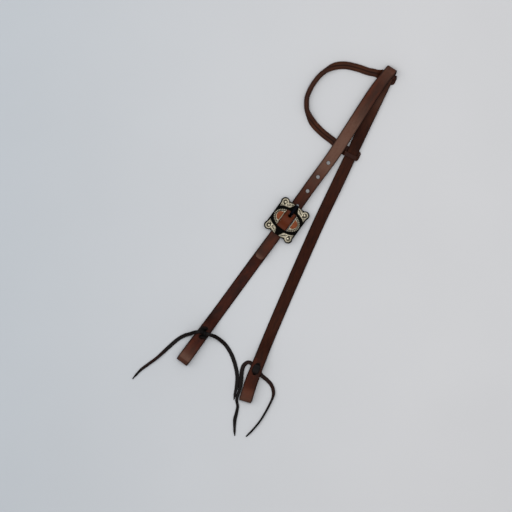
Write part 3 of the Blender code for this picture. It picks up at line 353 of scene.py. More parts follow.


# %% [markdown]
# The colours go on as coats, one over the other. Pale stretches are broken up by the flecks and the grain. On top
# lie pale and dark wear together with painted highlights, a painted reflection and painted shadows, the redder dye
# that the buckle has kept from fading, the burnished edge and painted shade in the crease line. The relief is
# pores of about 0.7 mm and soft wrinkles above, and fibres below.

# %% Leather


def leather(name, deep, warm, pale, edge, flesh, rough, mottle=14.0, creased=True):
    """Oiled cowhide in five colours."""
    made, tree = new_material(name)
    on = leather_patterns(tree, mottle, rough)
    # The grain side, and the flesh side with long fibres that run along the strap
    base = add_node(tree, "ShaderNodeRGB")
    base.outputs[0].default_value = linear(deep)
    faces = []
    for coats in (((on["warmed"], warm), (on["flecked"], edge)), ((on["fibred"], flesh), (on["grained"], edge))):
        colour = base.outputs[0]
        for amount, code in coats:
            colour = add_node(tree, MIX, {"data_type": "RGBA", 7: linear(code)}, {0: amount, 6: colour}).outputs[2]
        faces.append(colour)
    colour = add_node(tree, MIX, {"data_type": "RGBA"}, {0: on["under"], 6: faces[0], 7: faces[1]}).outputs[2]
    patchy = add_node(tree, MATH, {"operation": "MULTIPLY_ADD", 1: 0.5, 2: 0.25}, {0: on["grain"]})
    patchy = add_node(tree, MATH, {"operation": "MULTIPLY_ADD", 1: 0.9}, {0: on["fleck"], 2: patchy.outputs[0]})
    paled_by_wear_and_light = add_node(
        tree, MATH, {"operation": "MULTIPLY_ADD", "use_clamp": True, 2: 0.0}, {0: patchy.outputs[0], 1: on["pale"]}
    )
    # The pale and dark coats from the wear_and_light map hold both wear and painted light: painted highlights, a
    # painted reflection and painted shadows.
    coats = [(paled_by_wear_and_light.outputs[0], pale), (on["darkened"], edge), (on["dyed"], "#65301B"), (on["rim"], edge)]
    above = add_node(tree, MATH, {"operation": "MULTIPLY_ADD", 1: 0.9}, {0: on["fleck"], 2: on["pored"]})
    reliefs = {0: on["under"], 2: above.outputs[0], 3: on["fibre"]}
    height = add_node(tree, MIX, {"data_type": "FLOAT"}, reliefs).outputs[0]
    if creased:
        off = add_node(tree, MATH, {"operation": "SUBTRACT", 1: 0.80}, {0: on["near edge"]})
        off = add_node(tree, MATH, {"operation": "ABSOLUTE"}, {0: off.outputs[0]})
        upper = add_node(tree, MATH, {"operation": "GREATER_THAN", 1: 0.3}, {0: on["side"]})
        settings = {"interpolation_type": "SMOOTHSTEP", "From Max": 0.045, "To Min": 1.0, "To Max": 0.0}
        line = add_node(tree, RANGE, settings, {"Value": off.outputs[0]})
        line = add_node(tree, MATH, {"operation": "MULTIPLY"}, {0: line.outputs[0], 1: upper.outputs[0]}).outputs[0]
        height = add_node(tree, MATH, {"operation": "MULTIPLY_ADD", 1: -2.2}, {0: line, 2: height}).outputs[0]
        # Painted shade: the crease line is darkened towards the edge colour, as the shade in its groove.
        shaded = add_node(tree, MATH, {"operation": "MULTIPLY", 1: 0.45}, {0: line})
        coats.append((shaded.outputs[0], edge))
    for amount, code in coats:
        colour = add_node(tree, MIX, {"data_type": "RGBA", 7: linear(code)}, {0: amount, 6: colour}).outputs[2]
    bump = add_node(tree, "ShaderNodeBump", {"Strength": 0.6, "Distance": 0.00009}, {"Height": height})
    gloss = add_node(tree, MATH, {"operation": "MULTIPLY_ADD", 1: 0.14}, {0: on["under"], 2: on["glossed"]})
    shader = add_node(
        tree,
        "ShaderNodeBsdfPrincipled",
        {"Specular IOR Level": 0.07, "IOR": 1.5},
        {"Base Color": colour, "Roughness": gloss.outputs[0], "Normal": bump.outputs[0]},
    )
    add_node(tree, "ShaderNodeOutputMaterial", links={"Surface": shader.outputs[0]})
    return made


crown_leather = leather("oiled chestnut harness leather", "#2A0F05", "#4D1F0C", "#65483B", "#110604", "#3A190B", 0.5)
cheek_leather = leather("oiled cheek leather", "#280E06", "#491D0E", "#674A3D", "#110705", "#33170C", 0.5)
ear_leather = leather("rolled ear leather", "#280F08", "#41200F", "#65483A", "#140906", "#33170F", 0.48, 9.0, False)
lace_leather = leather("dark latigo lace", "#0C0807", "#140D0B", "#38201A", "#080605", "#25120D", 0.45, 6.0, False)

# %% [markdown]
# ### Antiqued silver, copper and blued steel
#
# The buckle is silver whose recesses were blackened and whose high places were polished again. A plain metal shader
# would be too clean, so each cast piece carries an attribute called "tarnish_and_light" that the relief maker writes
# from its own depth: polished silver and black patina are mixed by it, and on the overlays' tops and the tongue's
# tip it also carries painted shade and a painted highlight. Fine scratches and the grit of the casting keep the
# polish from looking like chrome.

# %% Metals


def antiqued_metal(name, bright, dark, rough, grit=0.35, metallic=1.0):
    """Metal whose colour and gloss go from bright to a black patina by the piece's tarnish_and_light attribute, which
    also holds painted light.
    """
    made, tree = new_material(name)
    where = add_node(tree, "ShaderNodeTexCoord")
    depth = add_node(tree, "ShaderNodeAttribute", {"attribute_name": "tarnish_and_light"})
    coarse = add_node(
        tree, NOISE, {"Scale": 420.0, "Detail": 4.0, "Roughness": 0.6}, {"Vector": where.outputs["Object"]}
    )
    fine = add_node(tree, NOISE, {"Scale": 2600.0, "Detail": 2.0}, {"Vector": where.outputs["Object"]})
    patch = add_node(tree, MATH, {"operation": "MULTIPLY_ADD", 1: 0.5, 2: -0.25}, {0: coarse.outputs["Fac"]})
    mask = add_node(
        tree, MATH, {"operation": "ADD", "use_clamp": True}, {0: depth.outputs["Fac"], 1: patch.outputs[0]}
    )
    mask = add_node(
        tree,
        RANGE,
        {"interpolation_type": "SMOOTHSTEP", "From Min": 0.12, "From Max": 0.8},
        {"Value": mask.outputs[0]},
    )
    colour = add_node(tree, MIX, {"data_type": "RGBA", 6: linear(bright), 7: linear(dark)}, {0: mask.outputs[0]})
    gloss = add_node(tree, RANGE, {"To Min": rough, "To Max": rough + 0.3}, {"Value": mask.outputs[0]})
    bump = add_node(tree, "ShaderNodeBump", {"Strength": grit, "Distance": 0.00005}, {"Height": fine.outputs["Fac"]})
    shader = add_node(
        tree,
        "ShaderNodeBsdfPrincipled",
        {"Metallic": metallic},
        {"Base Color": colour.outputs[2], "Roughness": gloss.outputs[0], "Normal": bump.outputs[0]},
    )
    add_node(tree, "ShaderNodeOutputMaterial", links={"Surface": shader.outputs[0]})
    return made


silver = antiqued_metal("antiqued silver", "#9D9582", "#0F0E0C", 0.42)
copper = antiqued_metal("copper inlay", "#623521", "#1A0C07", 0.45)
steel = antiqued_metal("blued steel", "#85878A", "#0C0D13", 0.3, 0.2)
print("metals:", ", ".join(made.name for made in (silver, copper, steel)))

# %% [markdown]
# ## Laces
#
# Each bit end is tied with a flat strip of latigo, about 6 mm wide and 2 mm thick. It goes through both holes, its
# strands turn once round each other over the leather, and its two ends run off to the sides and lie on the board.
# A free end is a real cord, so its route and its length come first and its shape second: points close to those of
# the solids, and a ribbon that is laid along them, turning on edge where the lace twists.

# %% The lines of the ties, like those of the solids


def tie_line(route, distance, knot, bridge, above, hand):
    """The lace's line through its holes and round the half knot."""
    place = frame_at(route, distance)
    close = knot - above * STRAND / 2.0
    turn, twist = 0.0018, 0.009
    half = [
        (0.0, 0.0, bridge),
        (HOLE_HALF * 0.8, 0.0, bridge),
        (HOLE_HALF, 0.0, bridge + above * LEATHER),
        (HOLE_HALF, 0.0, bridge + above * LEATHER * 2.0),
        (HOLE_HALF + turn / 4.0, turn / 2.0, close),
        (HOLE_HALF * 0.86, twist / 3.0, close),
        (turn * 2.0, twist / 2.0 + turn * 0.75, close),
    ]
    for step in range(13):
        angle = 2.0 * math.pi * step / 12
        lift = STRAND * math.sin(angle)
        half.append((STRAND * math.cos(angle), twist * (0.5 - step / 12), knot + above * lift))
    whole = [(-x, -y, z) for x, y, z in half[:0:-1]] + half
    return [place @ Vector((x, y * hand, z)) for x, y, z in whole]


near_tie_line = tie_line(near_route, NEAR_TIE, NEAR_KNOT, BRIDGE, 1.0, 1.0)
far_tie_line = tie_line(far_route, FAR_TIE, FAR_KNOT, FAR_BRIDGE, -1.0, -1.0)
print("each tie goes through %d points" % len(near_tie_line))

# %% [markdown]
# Every soft piece is a row of rings with faces between them. The strap, the lace and the tongue share one section, a
# rectangle with rounded corners, whose points also say how near the edge they lie and which side they face.

# %% Meshes, skins and the rounded section


def finish_mesh(name, mesh, materials, angle=50.0):
    """Makes an object of a bmesh, faces out, with its round parts smooth."""
    data = bpy.data.meshes.new(name)
    mesh.to_mesh(data)
    mesh.free()
    data.shade_smooth()
    data.set_sharp_from_angle(angle=math.radians(angle))
    obj = bpy.data.objects.new(name, data)
    bpy.context.scene.collection.objects.link(obj)
    for material in materials:
        data.materials.append(material)
    return obj


def skin_rings(mesh, rows, closed=False):
    """Faces between rings of points, with a cap at both ends unless the last ring meets the first."""
    count = len(rows[0])
    for first, second in zip(rows, [*rows[1:], rows[0]] if closed else rows[1:]):
        for index in range(count):
            after = (index + 1) % count
            mesh.faces.new((first[index], first[after], second[after], second[index]))
    if not closed:
        mesh.faces.new(rows[0][::-1])
        mesh.faces.new(rows[-1])
    bmesh.ops.recalc_face_normals(mesh, faces=mesh.faces)


def ring_section(width, height, corner, steps=4, face=(0.0, 0.3, 0.6, 0.78)):
    """A rounded rectangle as (across, up, edge, side), anticlockwise from the right of its top."""
    corner = min(corner, width / 2.0 - 1e-5, height / 2.0 - 1e-5)
    reach, rise = width / 2.0 - corner, height / 2.0 - corner
    spots = sorted({share * reach for share in face} | {-share * reach for share in face})
    outline = []
    for level in (1.0, -1.0):
        for index in range(steps + 1):
            angle = math.pi / 2.0 * index / steps + (0.0 if level > 0 else math.pi)
            x = level * reach + corner * math.cos(angle)
            y = level * rise + corner * math.sin(angle)
            outline.append((x, y))
        outline += [(x, level * height / 2.0) for x in (spots[::-1] if level > 0 else spots)]
        for index in range(steps + 1):
            angle = math.pi / 2.0 * (1.0 + index / steps) + (0.0 if level > 0 else math.pi)
            x = -level * reach + corner * math.cos(angle)
            y = level * rise + corner * math.sin(angle)
            outline.append((x, y))
    return [(x, y, min(abs(x) / (width / 2.0), 1.0), max(-1.0, min(1.0, y / (height / 2.0)))) for x, y in outline]


# %% The loft


def loft(name, rings, facts, materials, angle=50.0):
    """One closed body through rings. Facts hold each ring point's (lie, state, wear_and_light) pairs."""
    mesh = bmesh.new()
    layers = [mesh.loops.layers.uv.new(label) for label in ("lie", "state", "wear_and_light")]
    rows = [[mesh.verts.new(point) for point in ring] for ring in rings]
    count = len(rows[0])

    def write(face, corners):
        for loop, (row, index) in zip(face.loops, corners):
            for layer, value in zip(layers, facts[row][index]):
                loop[layer].uv = value

    for row in range(len(rows) - 1):
        for index in range(count):
            after = (index + 1) % count
            corners = ((row, index), (row, after), (row + 1, after), (row + 1, index))
            face = mesh.faces.new([rows[a][b] for a, b in corners])
            write(face, corners)
    for row, order in ((0, range(count - 1, -1, -1)), (len(rows) - 1, range(count))):
        corners = [(row, index) for index in order]
        write(mesh.faces.new([rows[a][b] for a, b in corners]), corners)
    bmesh.ops.recalc_face_normals(mesh, faces=mesh.faces)
    return finish_mesh(name, mesh, materials, angle)


# %% [markdown]
# A lace is lofted like a strap, but it lies loose: it sinks to the board within 20 mm of its knot, turns on edge
# where its table says so, and thins out at its tip.

# %% A flat lace laid along a line
LACE_SINK, SINK_OVER = 0.0011, 0.02


def lace(name, points, widths, thick, material, acrosses=None):
    """A ribbon along the points. Widths hold (share, width, twist in degrees, wear), thick holds (share, thickness).
    It lies on the board unless its directions across are given."""
    marks = [0.0]
    for a, b in zip(points, points[1:]):
        marks.append(marks[-1] + (b - a).length)
    wide = profile([(share, width) for share, width, twist, pale in widths])
    turn = profile([(share, math.radians(twist)) for share, width, twist, pale in widths])
    pale_at = profile([(share, pale) for share, width, twist, pale in widths])
    thick_at = profile(thick)
    rings, facts, centres = [], [], []
    for index, point in enumerate(points):
        tangent = (points[min(index + 1, len(points) - 1)] - points[max(index - 1, 0)]).normalized()
        share = marks[index] / marks[-1]
        across = acrosses[index] if acrosses else tangent.cross(UP).normalized()
        across = Matrix.Rotation(turn(share), 3, tangent) @ across
        up = across.cross(tangent)
        width, deep = wide(share), thick_at(share)
        here = point.copy()
        if not acrosses:
            half = abs(across.z) * width / 2.0 + abs(up.z) * deep / 2.0
            here.z = max(here.z - LACE_SINK * ease(marks[index] / SINK_OVER), half + 0.0001)
        tip = min(1.0, (marks[-1] - marks[index] + 0.0004) / 0.0016)
        shape = ring_section(width, deep * (0.55 + 0.45 * tip), deep * 0.32, 3, (0.0, 0.5))
        ring = [here + across * x + up * y for x, y, edge, side in shape]
        rings.append([Vector((p.x, p.y, max(p.z, 0.00005 + 0.00001 * (at % 3)))) for at, p in enumerate(ring)])
        facts.append([((marks[index], x), (edge, side), (pale_at(share), 0.0)) for x, y, edge, side in shape])
        centres.append(here)
    return loft(name, rings, facts, [material], 60.0), centres


# %% [markdown]
# The four free ends follow, near the lines of the solids, with points measured from the crown fold. Each lace is one
# smooth line through its left end, its tie and its right end, so nothing kinks where they meet.

# %% Points of the four free ends
near_left_points = (
    (-0.0546, -0.4586, 0.0120), (-0.0596, -0.4642, 0.0085), (-0.0653, -0.4703, 0.0048), (-0.0709, -0.4803, 0.0024),
    (-0.0760, -0.4951, 0.0022), (-0.0803, -0.5087, 0.0022), (-0.0836, -0.5182, 0.0022), (-0.0892, -0.5308, 0.0022),
    (-0.0942, -0.5428, 0.0022), (-0.0978, -0.5591, 0.0022),
)  # fmt: skip
near_right_points = (
    (-0.0325, -0.4508, 0.0119), (-0.0243, -0.4499, 0.0082), (-0.0107, -0.4520, 0.0030), (0.0013, -0.4576, 0.0022),
    (0.0111, -0.4647, 0.0022), (0.0208, -0.4741, 0.0022), (0.0285, -0.4843, 0.0022), (0.0335, -0.4950, 0.0022),
    (0.0358, -0.5020, 0.0022), (0.0381, -0.5085, 0.0022), (0.0397, -0.5135, 0.0022),
)  # fmt: skip
far_left_points = (
    (0.0345, -0.4568, 0.0026), (0.0297, -0.4590, 0.0023), (0.0277, -0.4655, 0.0022), (0.0294, -0.4728, 0.0022),
    (0.0330, -0.4808, 0.0022), (0.0368, -0.4890, 0.0022), (0.0396, -0.4968, 0.0022), (0.0412, -0.5049, 0.0022),
    (0.0437, -0.5124, 0.0022), (0.0486, -0.5180, 0.0022), (0.0520, -0.5271, 0.0022), (0.0549, -0.5369, 0.0022),
    (0.0609, -0.5481, 0.0022), (0.0660, -0.5565, 0.0022),
)  # fmt: skip
far_right_points = (
    (0.0575, -0.4646, 0.0026), (0.0655, -0.4660, 0.0022), (0.0746, -0.4690, 0.0022), (0.0817, -0.4753, 0.0022),
    (0.0851, -0.4830, 0.0022), (0.0865, -0.4977, 0.0022), (0.0865, -0.5175, 0.0022), (0.0843, -0.5336, 0.0022),
    (0.0803, -0.5496, 0.0022),
)  # fmt: skip

# %% [markdown]
# Each table gives, at shares of the end's length, the lace's width, how far it has turned on edge, and how much of
# its paler flesh side shows.

# %% Widths and turns of the four free ends
LACE_WIDTH, LACE_THICK = 0.0054, 0.0019
tail_shapes = {
    "near_tail_left": ((0, 0.0046, 0, 0), (0.1, 0.0052, 4, 0), (0.42, 0.0054, 6, 0), (0.62, 0.0048, 40, 0.5),
                       (0.8, 0.0042, 26, 0.3), (0.92, 0.0032, 10, 0), (1, 0.0014, 0, 0)),
    "near_tail_right": ((0, 0.0046, 0, 0), (0.12, 0.0054, 0, 0), (0.5, 0.0056, 0, 0), (0.8, 0.0054, 0, 0),
                        (0.93, 0.0038, 0, 0), (1, 0.0012, 0, 0)),
    "far_tail_left": ((0, 0.0052, 0, 0.3), (0.08, 0.0054, 14, 0.4), (0.2, 0.0060, 8, 0.1), (0.33, 0.0060, 4, 0),
                      (0.5, 0.0044, 0, 0), (0.62, 0.0040, 20, 0), (0.8, 0.0050, 8, 0), (0.93, 0.0036, 0, 0),
                      (1, 0.0014, 0, 0)),
    "far_tail_right": ((0, 0.0056, 0, 0.3), (0.12, 0.0056, 0, 0.3), (0.3, 0.0052, 25, 0.5), (0.45, 0.0044, 66, 0.3),
                       (0.75, 0.0040, 70, 0), (0.92, 0.0032, 66, 0), (1, 0.0016, 60, 0)),
}  # fmt: skip

# %% The four free ends
LACE_FINE, END_STATIONS, TIE_STATIONS = 8, 110, 260


def free_end(name, line, body):
    """One free end of a lace. Its line starts where it leaves the knot."""
    piece, centres = lace(name + "_lace", line, tail_shapes[name], ((0, LACE_THICK), (1, LACE_THICK)), lace_leather)
    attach(piece, body)
    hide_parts(name)


def split_lace(tie_points, left_points, right_points):
    """One smooth line through a whole lace, cut in three where its ends leave the knot: left end, tie, right end."""
    left, right = ([PLAN_TO_FRAME + Vector(place) for place in points] for points in (left_points, right_points))
    if (tie_points[0] - left[0]).length > (tie_points[-1] - left[0]).length:
        tie_points = tie_points[::-1]
    whole = Route(left[::-1] + tie_points + right, LACE_FINE)
    first = whole.marks[LACE_FINE * len(left)]
    last = whole.marks[LACE_FINE * (len(left) + len(tie_points) - 1)]
    ends = whole.cut(first, 0.0, END_STATIONS), whole.cut(last, whole.length, END_STATIONS)
    return ends[0], whole.cut(first, last, TIE_STATIONS), ends[1]


near_left_line, near_tied_line, near_right_line = split_lace(near_tie_line, near_left_points, near_right_points)
far_left_line, far_tied_line, far_right_line = split_lace(far_tie_line, far_left_points, far_right_points)
free_end("near_tail_left", near_left_line, "cheek")
free_end("near_tail_right", near_right_line, "cheek")
free_end("far_tail_left", far_left_line, "headstall")
free_end("far_tail_right", far_right_line, "headstall")

# %% [markdown]
# ## The tied part of each lace
#
# In the holes and the knot the same lace is drawn together, so here it is narrower and thicker, and it spreads again
# where it bridges the two holes. A lace that dives through a hole has no direction that is always level, so its
# direction across is carried along from point to point, and what it has turned by the end is let out gently.

# %% The two half knots


def steady_acrosses(points):
    """Directions across a lace through holes: level in the middle and at both ends, with no flip between."""
    count, middle = len(points), len(points) // 2
    tangents = [(points[min(i + 1, count - 1)] - points[max(i - 1, 0)]).normalized() for i in range(count)]
    level = [tangent.cross(UP).normalized() for tangent in tangents]
    acrosses = [level[middle]] * count
    for order in (range(middle + 1, count), range(middle - 1, -1, -1)):
        current = level[middle]
        for index in order:
            current = (current - tangents[index] * current.dot(tangents[index])).normalized()
            acrosses[index] = current
        last = order[-1]
        wanted = level[last] * math.copysign(1.0, level[last].dot(current))
        left = math.atan2(tangents[last].dot(current.cross(wanted)), current.dot(wanted))
        for step, index in enumerate(order):
            share = ease((step / len(order) - 0.45) / 0.5)
            acrosses[index] = Matrix.Rotation(left * share, 3, tangents[index]) @ acrosses[index]
    return acrosses


def tie(name, points, body, thick):
    """The part of a lace in its holes and its knot, drawn together to a thickness."""
    half = ((0, 0.0050), (0.08, 0.0054), (0.25, 0.0056), (0.33, 0.0052), (0.41, 0.0058), (0.445, 0.0092))
    half += ((0.49, 0.0104),)
    widths = [(share, width, 0, 0) for share, width in half]
    widths += [(1 - share, width, 0, 0) for share, width in half[::-1]]
    thicks = [(0, LACE_THICK), (0.1, thick), (0.4, thick), (0.46, 0.0026)]
    thicks += [(1 - share, deep) for share, deep in thicks[::-1]]
    piece = lace(name + "_tied", points, widths, thicks, lace_leather, steady_acrosses(points))[0]
    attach(piece, body)
    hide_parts(name)
    print("%s: %d faces" % (piece.name, len(piece.data.polygons)))


tie("near_tie_lace", near_tied_line, "cheek", 0.0046)
tie("far_tie_lace", far_tied_line, "headstall", 0.0030)

# %% [markdown]
# ## Straps
#
# A strap could be a curve with a bevel, but its width, height and wear all change along it, so it is lofted from
# stations instead: a point, the direction across, a width, a thickness and how pale or dark the leather is there,
# by wear and by painted light. A fold is a half turn of stations between two layers. Holes are punched afterwards
# with exact Booleans, and each cutter carries the same UV maps, so that the wall of a hole shows as burnished edge.

# %% A strap's layers and folds
STATION_STEP = 0.0035


def layer(route, start, end, height, width, along, wear_and_light_shift, thick=None, step=STATION_STEP):
    """Stations (point, side, width, thickness, place on the strap, wear and painted light) of one layer between two
    distances.
    """
    count = max(2, round(abs(end - start) / step))
    made = []
    for index in range(count + 1):
        distance = start + (end - start) * index / count
        point, heading = route.at(distance)
        point = point + Vector((0.0, 0.0, height(distance)))
        deep = thick(distance) if thick else LEATHER
        here = along + abs(distance - start)
        made.append((point, side_of(heading), width(distance), deep, here, wear_and_light_shift(distance)))
    return made


def fold(first, second, heading, wear_and_light_shift, steps=22):
    """Stations of the half turn between two layers, one above the other."""
    radius = (second[0].z - first[0].z) / 2.0
    made = []
    for index in range(1, steps):
        share = index / steps
        angle = math.pi * share
        middle = first[0].lerp(second[0], share)
        middle.z = first[0].z + radius - radius * math.cos(angle)
        point = middle + heading * abs(radius) * math.sin(angle)
        width = (first[2] + (second[2] - first[2]) * share) * (1.0 - 0.06 * math.sin(angle) ** 2)
        thick = first[3] + (second[3] - first[3]) * share
        along = first[4] + abs(radius) * angle
        made.append((point, first[1].lerp(second[1], share), width, thick, along, wear_and_light_shift(share)))
    return made


# %% The strap maker


def strap(name, stations, materials, grain, corner=0.0011):
    """Lofts a strap. Grain is 1 where the grain side is on top of a layer that runs towards the crown, else -1."""
    rings, facts = [], []
    for index, (point, side, width, thick, along, wear_and_light_shift) in enumerate(stations):
        before = stations[max(index - 1, 0)][0]
        after = stations[min(index + 1, len(stations) - 1)][0]
        tangent = (after - before).normalized()
        across = (side - tangent * side.dot(tangent)).normalized()
        up = across.cross(tangent)
        shape = ring_section(width, thick, corner)
        rings.append([point + across * x + up * y for x, y, edge, level in shape])
        facts.append([((along, x), (edge, level * grain), wear_and_light_shift) for x, y, edge, level in shape])
    return loft(name, rings, facts, materials)


# %% Punched holes
PUNCH_FLARE, HOLE_SIDES = 0.00035, 32


def mark_cutter(mesh):
    """Gives a cutter the strap's UV maps, all burnished edge and a little darker."""
    lie, state, wear_and_light = [mesh.loops.layers.uv.new(label) for label in ("lie", "state", "wear_and_light")]
    for face in mesh.faces:
        for loop in face.loops:
            loop[lie].uv = (loop.vert.co.z * 3.0, loop.vert.co.x + loop.vert.co.y)
            loop[state].uv = (1.0, 0.0)
            loop[wear_and_light].uv = (0.0, 0.35)


def punch(obj, frame_here, radius, bottom, top, half_length=0.0):
    """A punched hole with slightly flared lips, or a slot with round ends where a half length is given."""
    mesh = bmesh.new()
    flare = PUNCH_FLARE
    levels = ((bottom - 0.003, flare * 3), (bottom, flare), (bottom + flare * 1.5, 0.0))
    levels += ((top - flare * 1.5, 0.0), (top, flare), (top + 0.003, flare * 3))
    rows = []
    for level, extra in levels:
        ring = []
        for step in range(HOLE_SIDES):
            angle = 2.0 * math.pi * step / HOLE_SIDES
            x = (radius + extra) * math.cos(angle) + (half_length if math.cos(angle) > 0 else -half_length)
            ring.append(mesh.verts.new(frame_here @ Vector((x, (radius + extra) * math.sin(angle), level))))
        rows.append(ring)
    skin_rings(mesh, rows)
    mark_cutter(mesh)
    cutter = finish_mesh("punch", mesh, [])
    change = obj.modifiers.new("hole", "BOOLEAN")
    change.operation, change.solver, change.object = "DIFFERENCE", "EXACT", cutter
    return cutter


def settle(obj, name, body, *nodes, helpers=()):
    """Turns an object with modifiers into a plain mesh that rides on its body in its nodes' place."""
    bpy.context.view_layer.update()
    graph = bpy.context.evaluated_depsgraph_get()
    data = bpy.data.meshes.new_from_object(obj.evaluated_get(graph), preserve_all_data_layers=True, depsgraph=graph)
    for helper in (obj, *helpers):
        bpy.data.objects.remove(helper, do_unlink=True)
    made = bpy.data.objects.new(name, data)
    data.name = name
    bpy.context.scene.collection.objects.link(made)
    data.set_sharp_from_angle(angle=math.radians(50.0))
    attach(made, body)
    if nodes:
        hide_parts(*nodes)
    print("%s: %d faces" % (name, len(data.polygons)))
    return made


# %% [markdown]
# ### The crown strap
#
# One strap makes the far bit end, the far leg, the fold over the crown, the near leg and the billet that goes
# through the buckle. On the far leg its flesh side is up, on the near leg its grain side. The near leg is paler
# below the crown, handling wear together with a painted reflection of the window, and both folds have a lighter
# band of wear and painted highlight just before and over the turn. Painted shadow darkens the far flap's end and
# the strap just beyond it, and painted shade darkens the billet where it goes under the buckle plate's end bars.

# %% Heights and widths along the crown strap
FLAT = LEATHER / 2.0
far_flap_start = far_route.length - FLAP_LENGTH
rise_start = FAR_TIE - HOLE_HALF - 0.024
settled = LOWER_TAB + 0.04 + EAR_TAB_WIDTH
far_height = profile(
    (
        (0.0, FAR_LEVEL),
        (settled, FAR_LEVEL),
        (settled + 0.03, FLAT),
        (rise_start - 0.024, FLAT),
        (FAR_TIE - HOLE_HALF, FAR_MAIN),
        (FAR_TIE + HOLE_HALF, FAR_MAIN),
        (far_end - LEATHER, LOOP_LOW),
    )
)
far_flap_height = profile(
    ((far_flap_start, FAR_FLAP), (FAR_TIE + HOLE_HALF, FAR_FLAP), (far_end - LEATHER, LOOP_HIGH))
)
RIM_INNER = 0.0116
near_height = profile(
    (
        (CROWN_START, CROWN_TOP),
        (UPPER_TAB - EAR_TAB_WIDTH / 4.0, NEAR_OVER_TAB + LEATHER / 2.0),
        (UPPER_TAB + EAR_TAB_WIDTH / 2.0, NEAR_OVER_TAB),
        (UPPER_TAB + EAR_TAB_WIDTH + 0.04, NEAR_OVER_TAB),
        (LOWER_TAB - EAR_TAB_WIDTH, NEAR_OVER_ROLL),
        (LOWER_TAB + 0.04 + EAR_TAB_WIDTH, NEAR_OVER_ROLL),
        (BUCKLE_DISTANCE - FRAME_LONG, BILLET_LEVEL),
        (BUCKLE_DISTANCE - RIM_INNER * 0.85, BILLET_LEVEL),
        (BUCKLE_DISTANCE - HEEL_RADIUS, BILLET_OVER_HEEL),
        (BUCKLE_DISTANCE + HEEL_RADIUS, BILLET_OVER_HEEL),
        (BUCKLE_DISTANCE + RIM_INNER * 0.85, BILLET_LEVEL),
    )
)
BILLET_END, BILLET_TIP = 0.3262, 0.0075
TURN_STATIONS = 12


def billet_width(distance):
    """The billet's blunt tip."""
    share = min((BILLET_END - distance) / BILLET_TIP, 1.0)
    return STRAP_WIDTH * (0.36 + 0.64 * math.sqrt(max(1.0 - (1.0 - share) ** 2, 0.0)))


# %% Wear and painted light along the crown strap


def band(*knots):
    """Wear and painted light along a leg as (distance, pale, dark) knots."""
    pale = profile([(distance, light) for distance, light, dark in knots])
    deep = profile([(distance, dark) for distance, light, dark in knots])
    return lambda distance: (pale(distance), deep(distance))


# Pale at the crown fold is wear and painted highlight; the dark near 0.43 m is painted shadow beyond the flap's end.
far_wear_and_light = band(
    (0.0, 0.45, 0.0), (0.03, 0.2, 0.0), (0.05, 0.35, 0.0), (0.07, 0.1, 0.0), (0.11, 0.0, 0.3), (0.15, 0.05, 0.0),
    (0.28, 0.0, 0.12), (0.40, 0.05, 0.0), (0.43, 0.0, 0.15), (0.46, 0.1, 0.0),
)  # fmt: skip
# The flap's end is darkened as painted shadow; pale by the bit fold is wear and painted highlight.
flap_wear_and_light = band((0.44, 0.0, 0.7), (0.449, 0.0, 0.3), (0.488, 0.0, 0.3), (0.498, 0.3, 0.0), (0.507, 0.35, 0.0))
# Pale at the crown fold is wear and painted highlight, pale from 0.07 m to 0.19 m is handling wear with a painted
# reflection of the window, and dark at 0.235 m to 0.2435 m and at 0.2765 m is painted shade at the buckle plate's end
# bars.
near_wear_and_light = band(
    (0.0, 0.5, 0.0), (0.03, 0.15, 0.0), (0.05, 0.15, 0.0), (0.07, 0.35, 0.0), (0.10, 0.8, 0.0), (0.13, 1.0, 0.0),
    (0.165, 0.9, 0.0), (0.19, 0.35, 0.0), (0.215, 0.1, 0.0), (0.235, 0.0, 0.45), (0.2435, 0.0, 0.3),
    (0.2460, 0.0, -0.6), (0.2735, 0.0, -0.6), (0.2765, 0.0, 0.3), (0.29, 0.1, 0.0), (0.318, 0.15, 0.0),
    (0.3262, 0.8, 0.0),
)  # fmt: skip

# %% [markdown]
# The stations run in one go: the far bit end's flap, the fold, the far leg, the crown fold, the near leg, the
# stretch in the buckle in finer steps, and the blunt tip. Then come two lace holes, three buckle holes and the hole
# that the tongue goes through.

# %% Crown strap
FIRST_HOLE, HOLE_SPACING, HOLE_RADIUS, TONGUE_HOLE_RADIUS = 0.1605, 0.0245, 0.0026, 0.0025
flap = layer(far_route, far_flap_start, far_end, far_flap_height, far_width, 0.0, flap_wear_and_light)
main = layer(far_route, far_end, CROWN_START, far_height, far_width, 0.08, far_wear_and_light)
buckle_start, tip_start = BUCKLE_DISTANCE - FRAME_LONG, BILLET_END - BILLET_TIP
upper = layer(near_route, CROWN_START, buckle_start, near_height, near_width, 0.60, near_wear_and_light)
held = layer(near_route, buckle_start, tip_start, near_height, near_width, 0.83, near_wear_and_light, step=0.0018)
tip = []
for index in range(1, TURN_STATIONS + 1):
    distance = BILLET_END - BILLET_TIP * (1.0 - index / TURN_STATIONS) ** 1.6
    tip += layer(near_route, distance, distance, near_height, billet_width, held[-1][4] + index * 0.0006, near_wear_and_light)[:1]
outward = far_route.at(far_route.length)[1]
over_crown = -(far_route.at(0.0)[1] + near_route.at(0.0)[1]).normalized()
